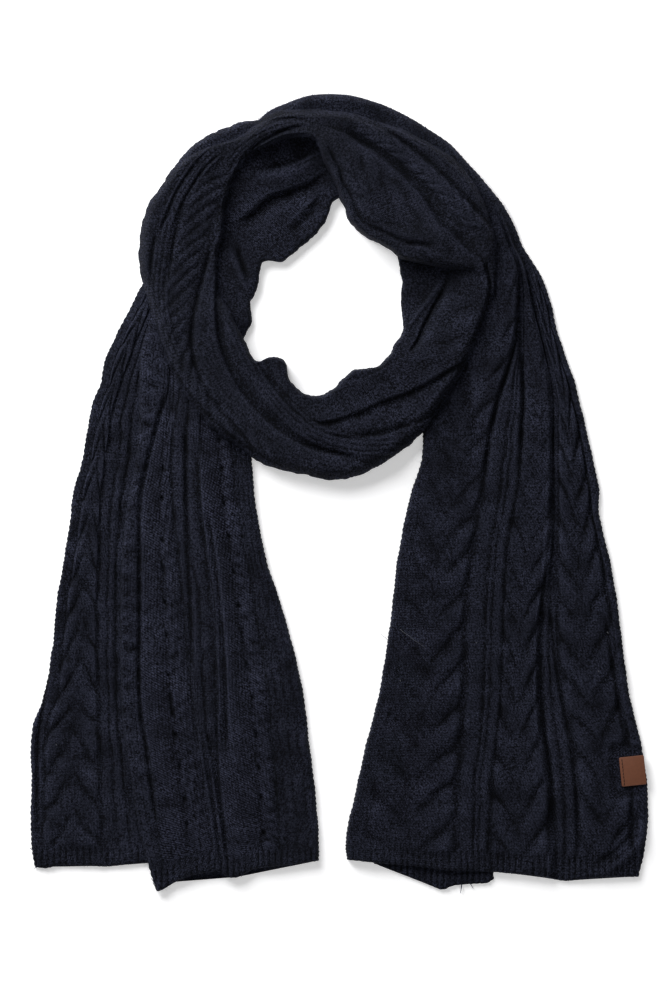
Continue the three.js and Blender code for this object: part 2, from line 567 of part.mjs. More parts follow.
const TAILS = {
  left: { rows: LEFT_ROWS, lanes: LEFT_LANES, hem: LEFT_HEM, underside: [0.97, 0.5, 0.03] },
  back: { rows: BACK_ROWS, lanes: BACK_LANES, hem: BACK_HEM, under: underBack,
    underside: [0.985, 0.5, 0.12, 0.08, 0.015] },
  right: { rows: RIGHT_ROWS, lanes: RIGHT_LANES, folds: RIGHT_FOLDS, hem: RIGHT_HEM, under: underRight,
    pressed: (x, y) => x > PRESSED.fromX && y > PRESSED.fromY && y < PRESSED.toY,
    underside: [0.985, 0.75, 0.56, 0.52, 0.07, 0.04, 0.015] },
  turnedUnder: { rows: TURNED_UNDER_ROWS, lanes: TURNED_UNDER_LANES, hem: TURNED_UNDER_HEM, hemRows: 1,
    underside: [0.98, 0.5, 0.02] },
};
for (const [name, shape] of Object.entries(TAILS)) solids[name] = toSolid(tail(shape));
grown.back = toSolid(tail({ ...TAILS.back, grow: SEAM_GAP }));

// The leather label, a plain plate with round corners
function labelMesh() {
  const [w, h, r] = [LABEL.width / 2, LABEL.height / 2, LABEL.corner];
  const outline = new THREE.Shape();
  outline.moveTo(-w + r, -h);
  outline.lineTo(w - r, -h).absarc(w - r, -h + r, r, -Math.PI / 2, 0);
  outline.lineTo(w, h - r).absarc(w - r, h - r, r, 0, Math.PI / 2);
  outline.lineTo(-w + r, h).absarc(-w + r, h - r, r, Math.PI / 2, Math.PI);
  outline.lineTo(-w, -h + r).absarc(-w + r, -h + r, r, Math.PI, 1.5 * Math.PI);
  const plate = { depth: LABEL.thick, bevelEnabled: false, curveSegments: 4 };
  const geometry = new THREE.ExtrudeGeometry(outline, plate);
  const mesh = new THREE.Mesh(geometry, new THREE.MeshStandardMaterial({ ...LEATHER, metalness: 0 }));
  mesh.name = 'leather_label';
  mesh.position.set(...toPart(LABEL_PLACE.x, LABEL_PLACE.y), LABEL_BED + SEAM_GAP);
  mesh.rotation.z = THREE.MathUtils.degToRad(LABEL_PLACE.turn);
  return mesh;
}

const [underMain, underEdge] = cutBy(solids.under, [grown.over, grown.loop]);
const PIECES = {
  neck_band_over: solids.over,
  front_loop: cutBy(solids.loop, [grown.over])[0],
  neck_band_under: underMain,
  neck_band_under_back_edge: underEdge,
  right_shoulder: cutBy(solids.shoulder, [grown.over, grown.loop])[0],
  right_tail: cutBy(solids.right, [grown.over, grown.loop, grown.shoulder])[0],
  right_tail_turned_under: solids.turnedUnder,
  left_tail: cutBy(solids.left, [grown.loop, grown.back])[0],
  left_tail_turned_back: cutBy(solids.back, [grown.loop])[0],
};
const scarf = new THREE.Group();
for (const [name, solid] of Object.entries(PIECES)) scarf.add(toMesh(name, solid, KNIT));
scarf.add(labelMesh());

export default scarf;
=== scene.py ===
"""The looks of a cable-knit scarf that lies flat, wound once into a loop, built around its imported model."""
import math

import bpy
import numpy as np
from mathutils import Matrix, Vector


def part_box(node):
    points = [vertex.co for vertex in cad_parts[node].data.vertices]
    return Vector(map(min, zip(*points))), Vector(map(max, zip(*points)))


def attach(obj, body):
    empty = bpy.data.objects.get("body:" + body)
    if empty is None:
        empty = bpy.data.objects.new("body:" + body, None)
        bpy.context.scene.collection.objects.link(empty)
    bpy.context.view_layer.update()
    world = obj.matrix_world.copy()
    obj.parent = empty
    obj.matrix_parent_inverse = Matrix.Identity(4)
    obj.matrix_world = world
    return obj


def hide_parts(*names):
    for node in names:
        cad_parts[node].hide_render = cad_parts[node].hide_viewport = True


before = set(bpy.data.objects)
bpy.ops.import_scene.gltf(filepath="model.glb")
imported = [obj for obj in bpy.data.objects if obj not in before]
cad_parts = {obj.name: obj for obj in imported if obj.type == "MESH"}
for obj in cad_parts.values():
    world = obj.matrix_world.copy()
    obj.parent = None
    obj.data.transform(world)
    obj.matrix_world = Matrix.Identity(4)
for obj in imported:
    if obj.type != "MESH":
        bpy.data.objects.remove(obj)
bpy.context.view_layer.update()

bl_info = {
    "name": "Cable-knit scarf",
    "version": (1, 0, 0),
    "blender": (4, 5, 0),
    "location": "3D View > Sidebar > Scarf",
    "description": "Knits the stretches of a laid scarf, its leather label, its loose yarn and a plain stage",
    "category": "Add Mesh",
}

MM = 0.001

# The layout grid: places in the tables are in its steps, x to the right and y down
GRID_STEPS = 622
GRID_MIDDLE_X, GRID_MIDDLE_Y = 339.75, 492.3
PHOTO_WIDTH, PHOTO_HEIGHT = 667, 1001


class ScarfSizes(bpy.types.PropertyGroup):
    """Sizes of the knit."""
    laid_width: bpy.props.FloatProperty(
        name="Laid width", description="Width of the whole scarf as it lies", default=0.498, unit="LENGTH")
    wall: bpy.props.FloatProperty(
        name="Wall", description="Thickness of one layer of knit", default=0.0036, unit="LENGTH")
    cable_rise: bpy.props.FloatProperty(
        name="Cable rise", description="Height of a cable's strand above the knit", default=0.0035, unit="LENGTH")
    cable_length: bpy.props.FloatProperty(
        name="Cable length", description="One crossing of a cable to the next", default=0.031, unit="LENGTH")
    rib_rise: bpy.props.FloatProperty(
        name="Rib rise", description="Height of a rib above its groove", default=0.0017, unit="LENGTH")
    hem_rib: bpy.props.FloatProperty(
        name="Hem rib", description="One rib of the hem to the next", default=0.0048, unit="LENGTH")
    hem_height: bpy.props.FloatProperty(
        name="Hem height", description="Height of the ribbed hem", default=0.0115, unit="LENGTH")
    stitch_width: bpy.props.FloatProperty(
        name="Stitch width", description="Width of one knit stitch", default=0.0024, unit="LENGTH")
    stitch_height: bpy.props.FloatProperty(
        name="Stitch height", description="Height of one knit stitch", default=0.0020, unit="LENGTH")
    mesh_step: bpy.props.FloatProperty(
        name="Mesh step", description="Distance between two points of the cloth's mesh", default=0.00125,
        unit="LENGTH")


class ScarfColours(bpy.types.PropertyGroup):
    """Colours of the yarn, leather and stage."""
    # The knit's colour is mixed between yarn and the paler colour below; yarn, its dark end, also stands for painted
    # shade in grooves and stitch hollows
    yarn: bpy.props.FloatVectorProperty(
        name="Yarn", description="Black yarn with a faint blue cast", subtype="COLOR", size=3,
        default=(0.0018, 0.0020, 0.0033))
    # The hairs' own colour, which the knit's colour also takes as painted highlight on ridges and stitch tops
    yarn_hair_and_highlight: bpy.props.FloatVectorProperty(
        name="Yarn fibre", description="The paler hairs that stand off the yarn", subtype="COLOR", size=3,
        default=(0.056, 0.062, 0.103))
    leather: bpy.props.FloatVectorProperty(
        name="Leather", description="Brown leather of the label", subtype="COLOR", size=3,
        default=(0.168, 0.052, 0.020))
    lint: bpy.props.FloatVectorProperty(
        name="Lint", description="Pale fibres caught in the knit", subtype="COLOR", size=3,
        default=(0.16, 0.165, 0.19))
    thread: bpy.props.FloatVectorProperty(
        name="Thread", description="Sewing thread of the label", subtype="COLOR", size=3,
        default=(0.022, 0.014, 0.012))
    floor: bpy.props.FloatVectorProperty(
        name="Floor", description="Plain pale floor", subtype="COLOR", size=3, default=(0.92, 0.92, 0.93))


def sizes():
    """The add-on's sizes."""
    return bpy.context.scene.scarf_sizes


def colours():
    """The add-on's colours."""
    return bpy.context.scene.scarf_colours


def table(names, *rows):
    """Rows with named columns."""
    return [dict(zip(names.split(), row)) for row in rows]


# The wound loop, clockwise from under the flap on the right, round the front, over the top and down to the flap.
# in: the neck opening's side, out: the outer side; inHigh and outHigh: crown heights in mm, bow: the end's curve.
LOOP_ROWS = table(
    "inX inY outX outY inHigh outHigh bow",
    (397, 249, 499, 240, 4, 21, 0),
    (402, 283, 498, 280, 5, 22, 0),
    (401, 305, 494, 300, 6, 21, 0),
    (403, 330, 484, 325, 9, 20, 0),
    (396.5, 342, 474, 350, 13, 19, 0),
    (387, 356, 462, 374, 18, 18, 0),
    (379, 366, 448, 396, 18, 18, 0),
    (366, 368, 431, 423, 18, 17, 0),
    (353, 370, 409, 445.5, 18, 17, 0),
    (342, 379, 386, 461.5, 20, 20, 0),
    (332, 390, 362, 474.5, 19, 19, 0),
    (316, 396, 334, 480, 19, 19, 0),
    (300, 391, 300, 474, 19, 20, 0),
    (289, 378, 266, 465, 19, 21, 0),
    (284, 359, 238, 447, 18, 22, 0),
    (270, 357, 212, 429, 18, 23, 0),
    (256, 361, 190, 402, 19, 24, 0),
    (245, 342, 174, 377, 20, 24, 0),
    (238, 326, 163, 348, 21, 24, 0),
    (230, 310, 154, 323, 22, 24, 0),
    (221, 294, 147, 300, 18, 22, 0),
    (218, 276, 141, 278, 17, 22, 0),
    (218, 256, 138.5, 256, 17, 23, 0),
    (222, 238, 140, 232, 18, 23, 0),
    (225, 220, 145, 212, 19, 24, 0),
    (227, 202, 152, 198, 21, 24, 0),
    (232, 184, 162, 184, 22, 24, 0),
    (240, 168, 174, 168, 24, 25, 0),
    (247, 159, 190, 154, 26, 25, 0),
    (257, 151, 212, 145, 27, 26, 0),
    (268, 146, 236, 137, 29, 27, 0),
    (280, 141, 256, 123, 30, 28, 0),
    (290, 139, 272, 112, 31, 28, 0),
    (300, 138, 290, 109, 32, 29, 0),
    (309, 139, 312, 109, 33, 29, 0),
    (316, 144, 334, 110, 34, 29, 0),
    (320, 152, 356, 114, 36, 29, 0),
    (323, 162, 378, 121, 35, 28, 0),
    (329, 172, 400, 128, 35, 28, 0),
    (334, 184, 420, 137, 34, 27, 0),
    (339, 196, 440, 148, 34, 26, 0),
    (344, 208, 458, 161, 34, 26, 0),
    (351, 223.5, 474, 180, 34, 25, 0),
    (363, 235.5, 485, 200, 34, 25, 0),
    (377, 242.5, 492, 220, 34, 25, 0),
    (388, 248.5, 497, 240, 33, 25, 0),
    (395, 254, 496, 258, 33, 23.5, -1),
    (401, 259, 490, 277, 32, 22, -1),
)
# Folds: rise in mm; left and right: half-widths in mm on each side of the path, as it is walked, y down
LOOP_FOLDS = table(
    "rise left right path",
    (-2.7, 6, 1.4, [(168, 182), (180, 163), (200, 149), (220, 140), (240, 131), (262, 121), (285, 115), (305, 112)]),
    (-1.8, 1.6, 2.2, [(214, 149), (203, 160), (190, 174), (178, 192), (170, 212), (160, 232), (154, 250), (152, 270),
                    (154, 292), (158, 306)]),
    (-1.8, 1.3, 2, [(226, 150), (212, 163), (198, 180), (186, 200), (178, 220), (174, 242), (171, 265), (166, 288),
                  (163, 305)]),
    (-3.0, 1.3, 2.6, [(214, 236), (209, 258), (203, 280), (198, 300), (194, 322), (193, 346), (197, 368), (206, 388),
                    (220, 408), (238, 428), (252, 446), (268, 458)]),
    (-5.0, 6, 1.6, [(221, 244), (219, 270), (217, 296), (218, 322), (221, 345), (230, 368), (243, 391), (258, 410),
                  (276, 427), (296, 441), (318, 450), (340, 455), (360, 461)]),
    (-2.4, 4, 1.3, [(258, 362), (268, 380), (284, 400), (300, 416), (316, 424)]),
    (-2.9, 1.3, 4.5, [(296, 416), (320, 423), (340, 420), (362, 412), (384, 402), (404, 395), (424, 386), (444, 374),
                    (462, 362), (472, 348)]),
    (-2.9, 4, 1.3, [(314, 430), (340, 437), (362, 437), (384, 433), (404, 427), (424, 420), (440, 408), (452, 394),
                  (464, 376)]),
    (-1.8, 1.3, 1.6, [(322, 449), (345, 455), (366, 462), (382, 461)]),
    (-1.8, 1.3, 1.8, [(144, 292), (154, 326), (168, 358), (186, 388), (206, 412), (232, 436), (262, 456), (292, 469)]),
    (-2.4, 3, 2, [(300, 408), (286, 396), (276, 384), (268, 372), (262, 364)]),
    (-3.6, 3, 1.4, [(448, 268), (444, 288), (434, 306), (424, 326), (416, 344), (400, 364)]),
    (2.1, 1.5, 1.5, [(446, 266), (438, 286), (428, 301), (415, 318), (402, 338)]),
    (-4.2, 1.5, 2, [(474, 252), (484, 262), (489, 275), (490, 291), (486, 310), (479, 330), (468, 352)]),
    (1.8, 1.8, 1.8, [(484, 246), (492, 257), (497, 270), (498, 284), (494, 302), (487, 320)]),
    (-5.5, 7, 2.4, [(336, 131), (352, 139), (375, 152), (396, 168), (412, 182), (427, 199), (438, 218), (454, 234),
                    (470, 249), (484, 262)]),
    (-1.8, 1.3, 1.3, [(345, 136), (375, 151), (396, 168), (411, 181), (425, 196), (435, 212)]),
    (-4.2, 2.6, 1.6, [(346, 116), (375, 126), (392, 136), (411, 149), (431, 165), (450, 183), (466, 199), (479, 213),
                    (489, 226), (495, 240)]),
    (-2.7, 2.4, 1.3, [(322, 137), (328, 146), (334, 160), (340, 171), (342, 182), (348, 192), (353, 202), (356, 213),
                      (363, 223), (374, 230), (388, 235), (400, 241), (412, 245), (428, 247), (438, 252), (444, 258)]),
    (-1.8, 1.3, 1.3, [(420, 247), (427, 257), (436, 266)]),
    (-3.4, 6, 1.3, [(308, 124), (330, 129), (350, 136), (366, 147), (382, 158)]),
    (-2.4, 1.4, 2.4, [(256, 125), (285, 120), (305, 121), (322, 127)]),
    (-3.3, 1.5, 2, [(234, 172), (244, 158), (256, 147), (268, 140), (284, 132), (302, 128), (320, 131)]),
    (-1.5, 1.5, 2, [(462, 226), (474, 229), (488, 232)]),
    (1.2, 4, 4, [(300, 398), (320, 398), (340, 390)]),
)
# Bundles of ribs: rise, pitch from one rib to the next and half the bundle's width, in mm
LOOP_RIBS = table(
    "rise pitch half path",
    (1.5, 4.2, 8.4, [(228, 306), (244, 344), (264, 382), (288, 412), (312, 432), (340, 442), (372, 446), (404, 444)]),
    (1.1, 4.0, 7.4, [(222, 147), (204, 163), (188, 184), (176, 206), (168, 226), (164, 248), (161, 272), (160, 300),
                     (165, 336), (178, 366)]),
    (0.8, 3.2, 3.4, [(232, 178), (227, 205), (223, 235), (219, 262), (217, 290)]),
    (0.7, 3.4, 4, [(220, 172), (236, 152), (254, 138), (276, 128), (300, 122)]),
    (0.8, 2.8, 3.2, [(372, 121), (400, 135), (424, 148), (445, 164), (462, 180), (475, 198)]),
    (0.7, 3.6, 6.0, [(204, 330), (208, 360), (226, 394), (252, 424), (284, 448), (318, 464), (350, 470)]),
    (0.6, 3.2, 5.0, [(415, 262), (412, 290), (408, 322)]),
)
# Cables: rise, half-width and period in mm, the way of the V, the shares of the cable that show, and its slant
LOOP_CABLES = table(
    "rise half period point first last lean path",
    (1.9, 13, 14, 1, 0, 0.42, 3.4, [(226, 162), (210, 190), (199, 218), (191, 246), (184, 272), (178, 300), (174, 326),
                                    (178, 352), (190, 379), (206, 404), (228, 427), (254, 447), (282, 460)]),
    (1.9, 17, 26, 1, 0, 0.45, 1.6, [(466, 290), (458, 318), (446, 344), (426, 364), (400, 382), (372, 396),
                                    (340, 404)]),
    (1.9, 19, 30, 1, 0, 1, 1.1, [(342, 150), (356, 172), (372, 194), (396, 214), (426, 232), (456, 250)]),
    (2.8, 8, 13, 1, 0, 1, 1.0, [(352, 122), (384, 140), (412, 162), (440, 186), (464, 212), (484, 238)]),
    (1.2, 10, 26, -1, 0, 0.5, 1.2, [(454, 392), (430, 410), (400, 420), (366, 427), (332, 430)]),
)

# The lower pass behind the neck, from beside the loop on the left, round the arch and under the flap.
UNDER_ROWS = table(
    "inX inY outX outY inHigh outHigh",
    (243, 339, 205, 350, 7, 8),
    (251, 322, 192, 328, 8, 9),
    (251, 302, 178, 300, 9, 10),
    (258, 285, 168, 270, 9, 12),
    (261, 266, 160, 236, 9, 12),
    (268, 260.5, 160, 204, 9, 12),
    (281, 261.5, 166, 179, 9, 14),
    (294, 253, 178, 160, 9, 17),
    (308, 241, 197, 142, 9, 19),
    (320, 229, 224, 128, 9, 17.5),
    (328, 215, 252, 120, 9, 16),
    (334, 201, 280, 122, 9, 16),
    (346, 196, 310, 132, 9, 15),
    (362, 196, 345, 140, 8, 10),
)
UNDER_FOLDS = table(
    "rise left right path",
    (-3.4, 9, 1.2, [(244, 171), (264, 169), (284, 166), (298, 161), (312, 153), (324, 147)]),
    (3, 3, 6, [(244, 180), (266, 177), (290, 173), (312, 165), (328, 156)]),
    (-5.5, 2, 7, [(228, 228), (246, 219), (260, 207), (272, 198), (284, 194), (298, 189), (312, 183), (332, 170)]),
    (-2.8, 3, 5, [(280, 236), (298, 224), (312, 209), (322, 194), (328, 184)]),
    (-3.4, 2, 2, [(236, 242), (240, 256), (246, 272), (250, 284)]),
    (1.8, 2, 2.5, [(228, 244), (236, 264), (244, 282), (250, 298)]),
)
UNDER_RIBS = table(
    "rise pitch half path",
    (1.0, 3.4, 4.4, [(276, 173), (300, 165), (326, 152)]),
    (0.7, 3.6, 5, [(262, 240), (286, 228), (310, 206), (326, 188)]),
)

# The outer roll over the top and the right shoulder, which runs down into the right tail.
SHOULDER_ROWS = table(
    "inX inY outX outY inHigh outHigh",
    (264, 127, 257, 121, 15, 14),
    (276, 122, 268, 111, 15, 14),
    (290, 121, 285, 103.3, 13, 14.5),
    (312, 120, 312, 94.5, 11, 14),
    (336, 121, 347, 94.4, 11, 15),
    (358, 125, 376, 101.8, 11, 15),
    (382, 133, 401, 112.4, 11, 15),
    (405, 144, 426.5, 127.4, 11, 15),
    (427, 156, 450, 143.5, 11, 15),
    (446, 171, 471, 166, 11, 15),
    (462, 190, 490, 187.5, 11, 14),
    (474, 210, 504, 206, 12, 13),
    (480, 229, 514, 223.5, 13, 12),
    (484, 246, 522, 244, 14, 11),
    (486, 262, 533, 262, 14, 10),
)

# The right tail, from the shoulder down to the hem. The X columns are lane borders.
RIGHT_ROWS = table(
    "leftX leftY panelX ribsX panelTwoX pleatX ribsTwoX panelThreeX edgeX rightX rightY",
    (486, 262, 494, 515, 518, 521, 524, 526, 530, 533, 262),
    (484, 282, 493, 518, 522, 527, 529, 531, 539, 544, 282),
    (478, 306, 490, 518, 523, 532, 534, 537, 547, 552, 306),
    (468, 332, 480, 516, 523, 539, 540, 543, 553, 558, 332),
    (456, 357, 469, 511, 523, 545, 546, 549, 560, 566, 357),
    (442, 382, 456, 504, 523, 550, 552, 555, 568, 575, 382),
    (428, 406, 443, 497, 523, 552, 554, 558, 574, 581, 406),
    (423, 431, 434, 491, 522, 552, 554, 558, 580, 587, 431),
    (422, 458, 432, 487, 521, 552, 554, 558, 585, 593, 458),
    (413, 488, 425, 483, 517, 552, 555, 558, 590, 599, 488),
    (405, 517, 416, 479, 512, 552, 555, 558, 593, 600, 515),
    (398, 558, 409, 472, 506, 549, 552, 557, 602, 609, 556),
    (392, 605, 403, 467, 503, 542, 546, 557, 610, 618, 603),
    (388, 640, 399, 466, 502, 539, 543, 557, 615, 622, 640),
    (378, 698, 390, 465, 500, 539, 544, 563, 622, 630.5, 698),
    (366, 745, 379, 462, 495, 542, 547, 573, 630, 641, 742),
    (356, 790, 370, 459, 490, 549, 554, 577, 632, 648, 790),
    (346, 836, 361, 457, 488, 551, 556, 578, 633, 647, 836),
    (347, 859, 361, 457, 487, 549, 554, 574, 630, 639, 874),
)
# Lanes: heights in mm at each side, near the loop and at the hem; parts: the ribs' borders, or the way of the
# cable's V, how firm its left half is and how firm its strands are far from the hem
RIGHT_LANES = table(
    "kind start end topStart topEnd hemStart hemEnd parts",
    ("plain", "leftX", "panelX", 13, 14, 7.4, 8, 0),
    ("cable", "panelX", "ribsX", 14, 15, 8, 7.8, (1, 0.5, 0.55)),
    ("ribs", "ribsX", "panelTwoX", 13, 10, 7.4, 7, (0, 0.55, 0.68, 1)),
    ("cable", "panelTwoX", "pleatX", 8, 11, 6.4, 7.2, (1, 0.7, 0.3)),
    ("plain", "pleatX", "ribsTwoX", 11, 6, 7.2, 4.4, 0),
    ("ribs", "ribsTwoX", "panelThreeX", 6, 6, 4.4, 4.4, (0, 0.42, 1)),
    ("cable", "panelThreeX", "edgeX", 6, 5.5, 5, 5.2, (1, 0.9, 1.3)),
    ("selvedge", "edgeX", "rightX", 5.5, 4, 5.2, 4, 0),
)
RIGHT_HEM = [(346, 860), (420, 867), (450, 871), (495, 872), (540, 877), (565, 881.5), (600, 878), (640, 877)]
RIGHT_FOLDS = table(
    "rise left right path",
    (-2.8, 2, 2.4, [(519, 270), (520, 300), (521, 350), (523, 380), (523, 410), (521, 450), (518, 480)]),
    (-2.2, 1.6, 2, [(518, 262), (518, 300), (516, 338), (509, 368), (499, 398), (492, 428), (487, 460), (484, 492)]),
    (-2.0, 1.6, 2.4, [(526, 270), (532, 300), (541, 342), (550, 384), (553, 430), (553, 490), (552, 540)]),
    (-3.2, 1.3, 5, [(548, 560), (543, 605), (541, 640), (541, 690), (545, 730), (550, 765), (553, 800), (553, 850)]),
    (-1.7, 1.4, 1.6, [(550, 590), (554, 650), (562, 700), (570, 745), (576, 790), (578, 852)]),
    (1.6, 3, 2, [(608, 600), (613, 640), (621, 690), (626, 720), (630, 748)]),
    (2.6, 3.4, 2, [(645, 818), (640, 838), (628, 855), (612, 867), (594, 878)]),
    (-2.0, 2, 2, [(636, 800), (634, 828), (622, 845), (606, 858), (588, 868)]),
    (-1.4, 1.4, 1.4, [(640, 796), (638, 828), (634, 858), (631, 874)]),
    (-1.8, 1.4, 1.6, [(604, 610), (609, 640), (616, 688), (621, 720), (626, 748)]),
    (-1.7, 1.6, 2, [(541, 300), (548, 330), (557, 366)]),
    (-1.7, 6, 6, [(436, 250), (472, 420), (476, 440)]),
    (1.2, 5, 5, [(505, 300), (498, 352), (476, 402), (456, 444)]),
    (1.6, 5, 1.6, [(547, 520), (544, 570), (538, 620), (536, 700), (541, 745), (545, 780), (548, 830)]),
)

# The layer turned under the right tail, which shows below its hem.
TURNED_UNDER_ROWS = table(
    "leftX leftY rightX rightY",
    (372, 806, 490, 806),
    (372, 835, 492, 835),
    (374, 862, 494, 880),
)
TURNED_UNDER_LANES = table(
    "kind start end topStart topEnd hemStart hemEnd parts",
    ("plain", "leftX", "rightX", 3.6, 3.6, 3.2, 3.2, 0),
)
TURNED_UNDER_HEM = [(372, 863), (420, 881.5), (443, 891), (452, 886), (466, 884.5), (490, 883.5), (494, 878)]

# The left tail's lower layer, right side up, whose inner part lies under the turned-back layer.
LEFT_ROWS = table(
    "leftX leftY panelX ribsX rightX rightY",
    (143, 283, 147, 158, 170, 292),
    (128.5, 310, 136, 148, 168, 318),
    (116, 335, 124, 138, 158, 340),
    (104, 362, 113, 128, 152, 366),
    (100, 384, 108, 121, 150, 386),
    (92, 404, 101, 114, 150, 406),
    (87, 430, 95, 110, 149, 431),
    (81, 464, 89, 105, 146, 464),
    (73, 492, 82, 102, 140, 492),
    (69, 525, 78, 100, 134, 525),
    (63.5, 560, 73, 99, 131, 560),
    (56.5, 600, 66, 98, 130, 600),
    (52.5, 643, 62, 98, 130, 643),
    (44, 694, 56, 99, 131, 694),
    (31.5, 731, 44, 100, 134, 731),
    (31, 785, 42, 101, 143, 785),
    (30.5, 835, 41, 103, 151, 835),
    (34, 866, 45, 104, 158, 862),
)
LEFT_LANES = table(
    "kind start end topStart topEnd hemStart hemEnd parts",
    ("plain", "leftX", "panelX", 2.5, 5, 4.2, 4, 0),
    ("cable", "panelX", "ribsX", 5, 5, 4.4, 4.6, (-1, 1.0, 0.9)),
    ("ribs", "ribsX", "rightX", 5, 5, 3.8, 3.6, (0, 0.3, 0.55, 0.8, 1)),
)
LEFT_HEM = [(33, 867), (46, 869), (59, 865), (107, 867), (144, 863), (158, 863)]
LEFT_FOLDS = table(
    "rise left right path",
    (-2.6, 1.4, 1.8, [(52, 660), (44, 700), (38, 740), (37, 790), (38, 835)]),
    (-1.8, 6, 4, [(134, 420), (126, 480), (120, 530), (117, 566), (116, 650), (117, 700), (121, 740), (128, 786),
                  (136, 830)]),
)

# The layer turned back over the left tail, reverse side up, from its selvedge to the fold.
BACK_ROWS = table(
    "leftX leftY valleyX cableX ribsX pleatX lumpX ribsTwoX rightX rightY",
    (150, 318, 168, 176, 182, 196, 206, 214, 228, 330),
    (141, 352, 168, 176, 182, 198, 209, 220, 238, 362),
    (139, 384, 168, 174, 180, 199, 212, 225, 244, 392),
    (139, 412, 161, 170, 176, 200, 214, 229, 248, 420),
    (138, 436, 154, 165, 172, 200, 217, 231, 250, 441),
    (135, 466, 147, 162, 171, 200, 220, 233, 252, 466),
    (128, 500, 141, 160, 172, 201, 222, 236, 255, 500),
    (124, 530, 140, 160, 175, 204, 226, 241, 260, 530),
    (121, 566, 139, 161, 179, 209, 231, 248, 268, 566),
    (120, 605, 139, 163, 183, 215, 236, 255, 281, 605),
    (120, 647, 139, 165, 186, 216, 242, 261, 293, 647),
    (121, 695, 140, 168, 191, 218, 250, 268, 303, 692),
    (124, 735, 145, 173, 197, 217, 254, 271, 308, 733),
    (132, 786, 154, 180, 204, 219, 258, 275, 314, 780),
    (139, 828, 157, 185, 210, 224, 261, 278, 318, 824),
    (156, 886, 166, 190, 215, 229, 263, 280, 319, 861),
)
BACK_LANES = table(
    "kind start end topStart topEnd hemStart hemEnd parts",
    ("selvedge", "leftX", "valleyX", 9, 8, 8, 7.2, 0),
    ("reverse", "valleyX", "cableX", 6, 7, 7.0, 7.2, 0),
    ("lumps", "cableX", "ribsX", 8, 10, 7.2, 7.4, 0),
    ("ribs", "ribsX", "pleatX", 10, 10, 7.6, 7.8, (0, 0.5, 1)),
    ("reverse", "pleatX", "lumpX", 6, 8, 8.6, 7.4, 0),
    ("lumps", "lumpX", "ribsTwoX", 8, 9, 7.4, 7.4, 0),
    ("soft ribs", "ribsTwoX", "rightX", 9, 7, 7.4, 7, (0, 0.22, 0.47, 0.74, 1)),
)
BACK_HEM = [(155, 891), (159, 892), (172, 884), (189, 876), (220, 871), (227, 878), (238, 878), (254, 869), (280, 866),
            (320, 861)]
BACK_FOLDS = table(
    "rise left right path",
    (-3.0, 1.2, 2, [(168, 384), (157, 426), (146, 470), (140, 510), (140, 600), (140, 700), (148, 760), (157, 828)]),
    (3.0, 10, 1.8, [(200, 440), (203, 500), (209, 560), (214, 605), (217, 650), (219, 700), (220, 740)]),
    (-3.2, 1.5, 8, [(206, 500), (215, 560), (220, 605), (224, 650), (226, 700), (228, 760)]),
    (3.4, 1.3, 8, [(203, 722), (208, 750), (212, 775), (216, 800), (221, 835), (226, 874)]),
    (-3.4, 8, 1.6, [(200, 722), (204, 750), (208, 775), (212, 800), (217, 835), (222, 872)]),
    (-2.2, 2, 2, [(186, 420), (186, 470), (187, 540), (190, 600), (192, 680)]),
)

# The label: its turn in degrees, the height in mm of the knit that it presses down, and its sizes in metres
LABEL_TURN = 6
LABEL_BED = 4.7
LABEL_SIZE = (0.020, 0.0235, 0.0013)
LABEL_CORNER = 0.0012
LABEL_EDGE = 0.0003
LABEL_SEAM = 0.0021
SEAM_STITCHES = 8
# Where the label presses the knit down, and where the layer turned under lifts the right tail
PRESSED = {"fromX": 606, "fromY": 740, "toY": 803}
RECESS = {"fromRow": 15.9, "fromX": 362, "toX": 510}
SELVEDGE_REACH = 15
LAYER_GAP = 0.3
SEAM_THREAD = 0.0004


def grid_mm():
    """One step of the layout grid in mm."""
    return sizes().laid_width / GRID_STEPS / MM


def smooth(share):
    """0 below 0 and 1 above 1, with a soft change between."""
    share = np.clip(share, 0, 1)
    return share * share * (3 - 2 * share)


def mix(a, b, share):
    """Between a and b."""
    return a + (b - a) * share


def quarter_round(distance, radius):
    """A quarter circle's rise: 0 at a border, 1 at a distance of radius from it."""
    return np.sqrt(1 - (1 - np.clip(distance / radius, 0, 1)) ** 2)


def column(rows, name):
    """One column of a table."""
    return np.array([row[name] for row in rows], float)


def along(values, t):
    """A column as a smooth curve through its rows, t counting rows."""
    last = len(values) - 1
    i = np.clip(np.floor(t).astype(int), 0, last - 1)
    f = t - i
    a, b, c, d = (values[np.clip(i + k, 0, last)] for k in (-1, 0, 1, 2))
    return 0.5 * (2 * b + (c - a) * f + (2 * a - 5 * b + 4 * c - d) * f**2 + (3 * b - a - 3 * c + d) * f**3)


CORNER_REACH = 4


def soft_line(x, points_x, points_y):
    """A line through points, its corners rounded."""
    shifts = np.linspace(-CORNER_REACH, CORNER_REACH, 7)
    return sum(np.interp(x + shift, points_x, points_y) for shift in shifts) / len(shifts)


def even_rows(ends, step):
    """Places t through a table's rows at even steps of mm, and their lengths; ends are its two sides' columns."""
    fine = np.linspace(0, len(ends[0]) - 1, 40 * len(ends[0]))
    x0, y0, x1, y1 = (along(end, fine) * grid_mm() for end in ends)
    steps = np.hypot(np.diff(x0 + x1), np.diff(y0 + y1)) / 2
    lengths = np.concatenate([[0], np.cumsum(steps)])
    count = int(round(lengths[-1] / step))
    wanted = np.linspace(0, lengths[-1], count + 1)
    close = np.array([0.2, 0.6]) * step
    wanted = np.sort(np.concatenate([wanted, close, lengths[-1] - close]))
    return np.interp(wanted, lengths, fine), wanted, lengths[-1]


def smooth_line(points):
    """A curve through points, as many short straight pieces."""
    points = np.array(points, float)
    reach = np.hypot(*np.diff(points, axis=0).T).sum()
    t = np.linspace(0, len(points) - 1, max(4, int(reach / 4)))
    return np.stack([along(points[:, 0], t), along(points[:, 1], t)], 1)


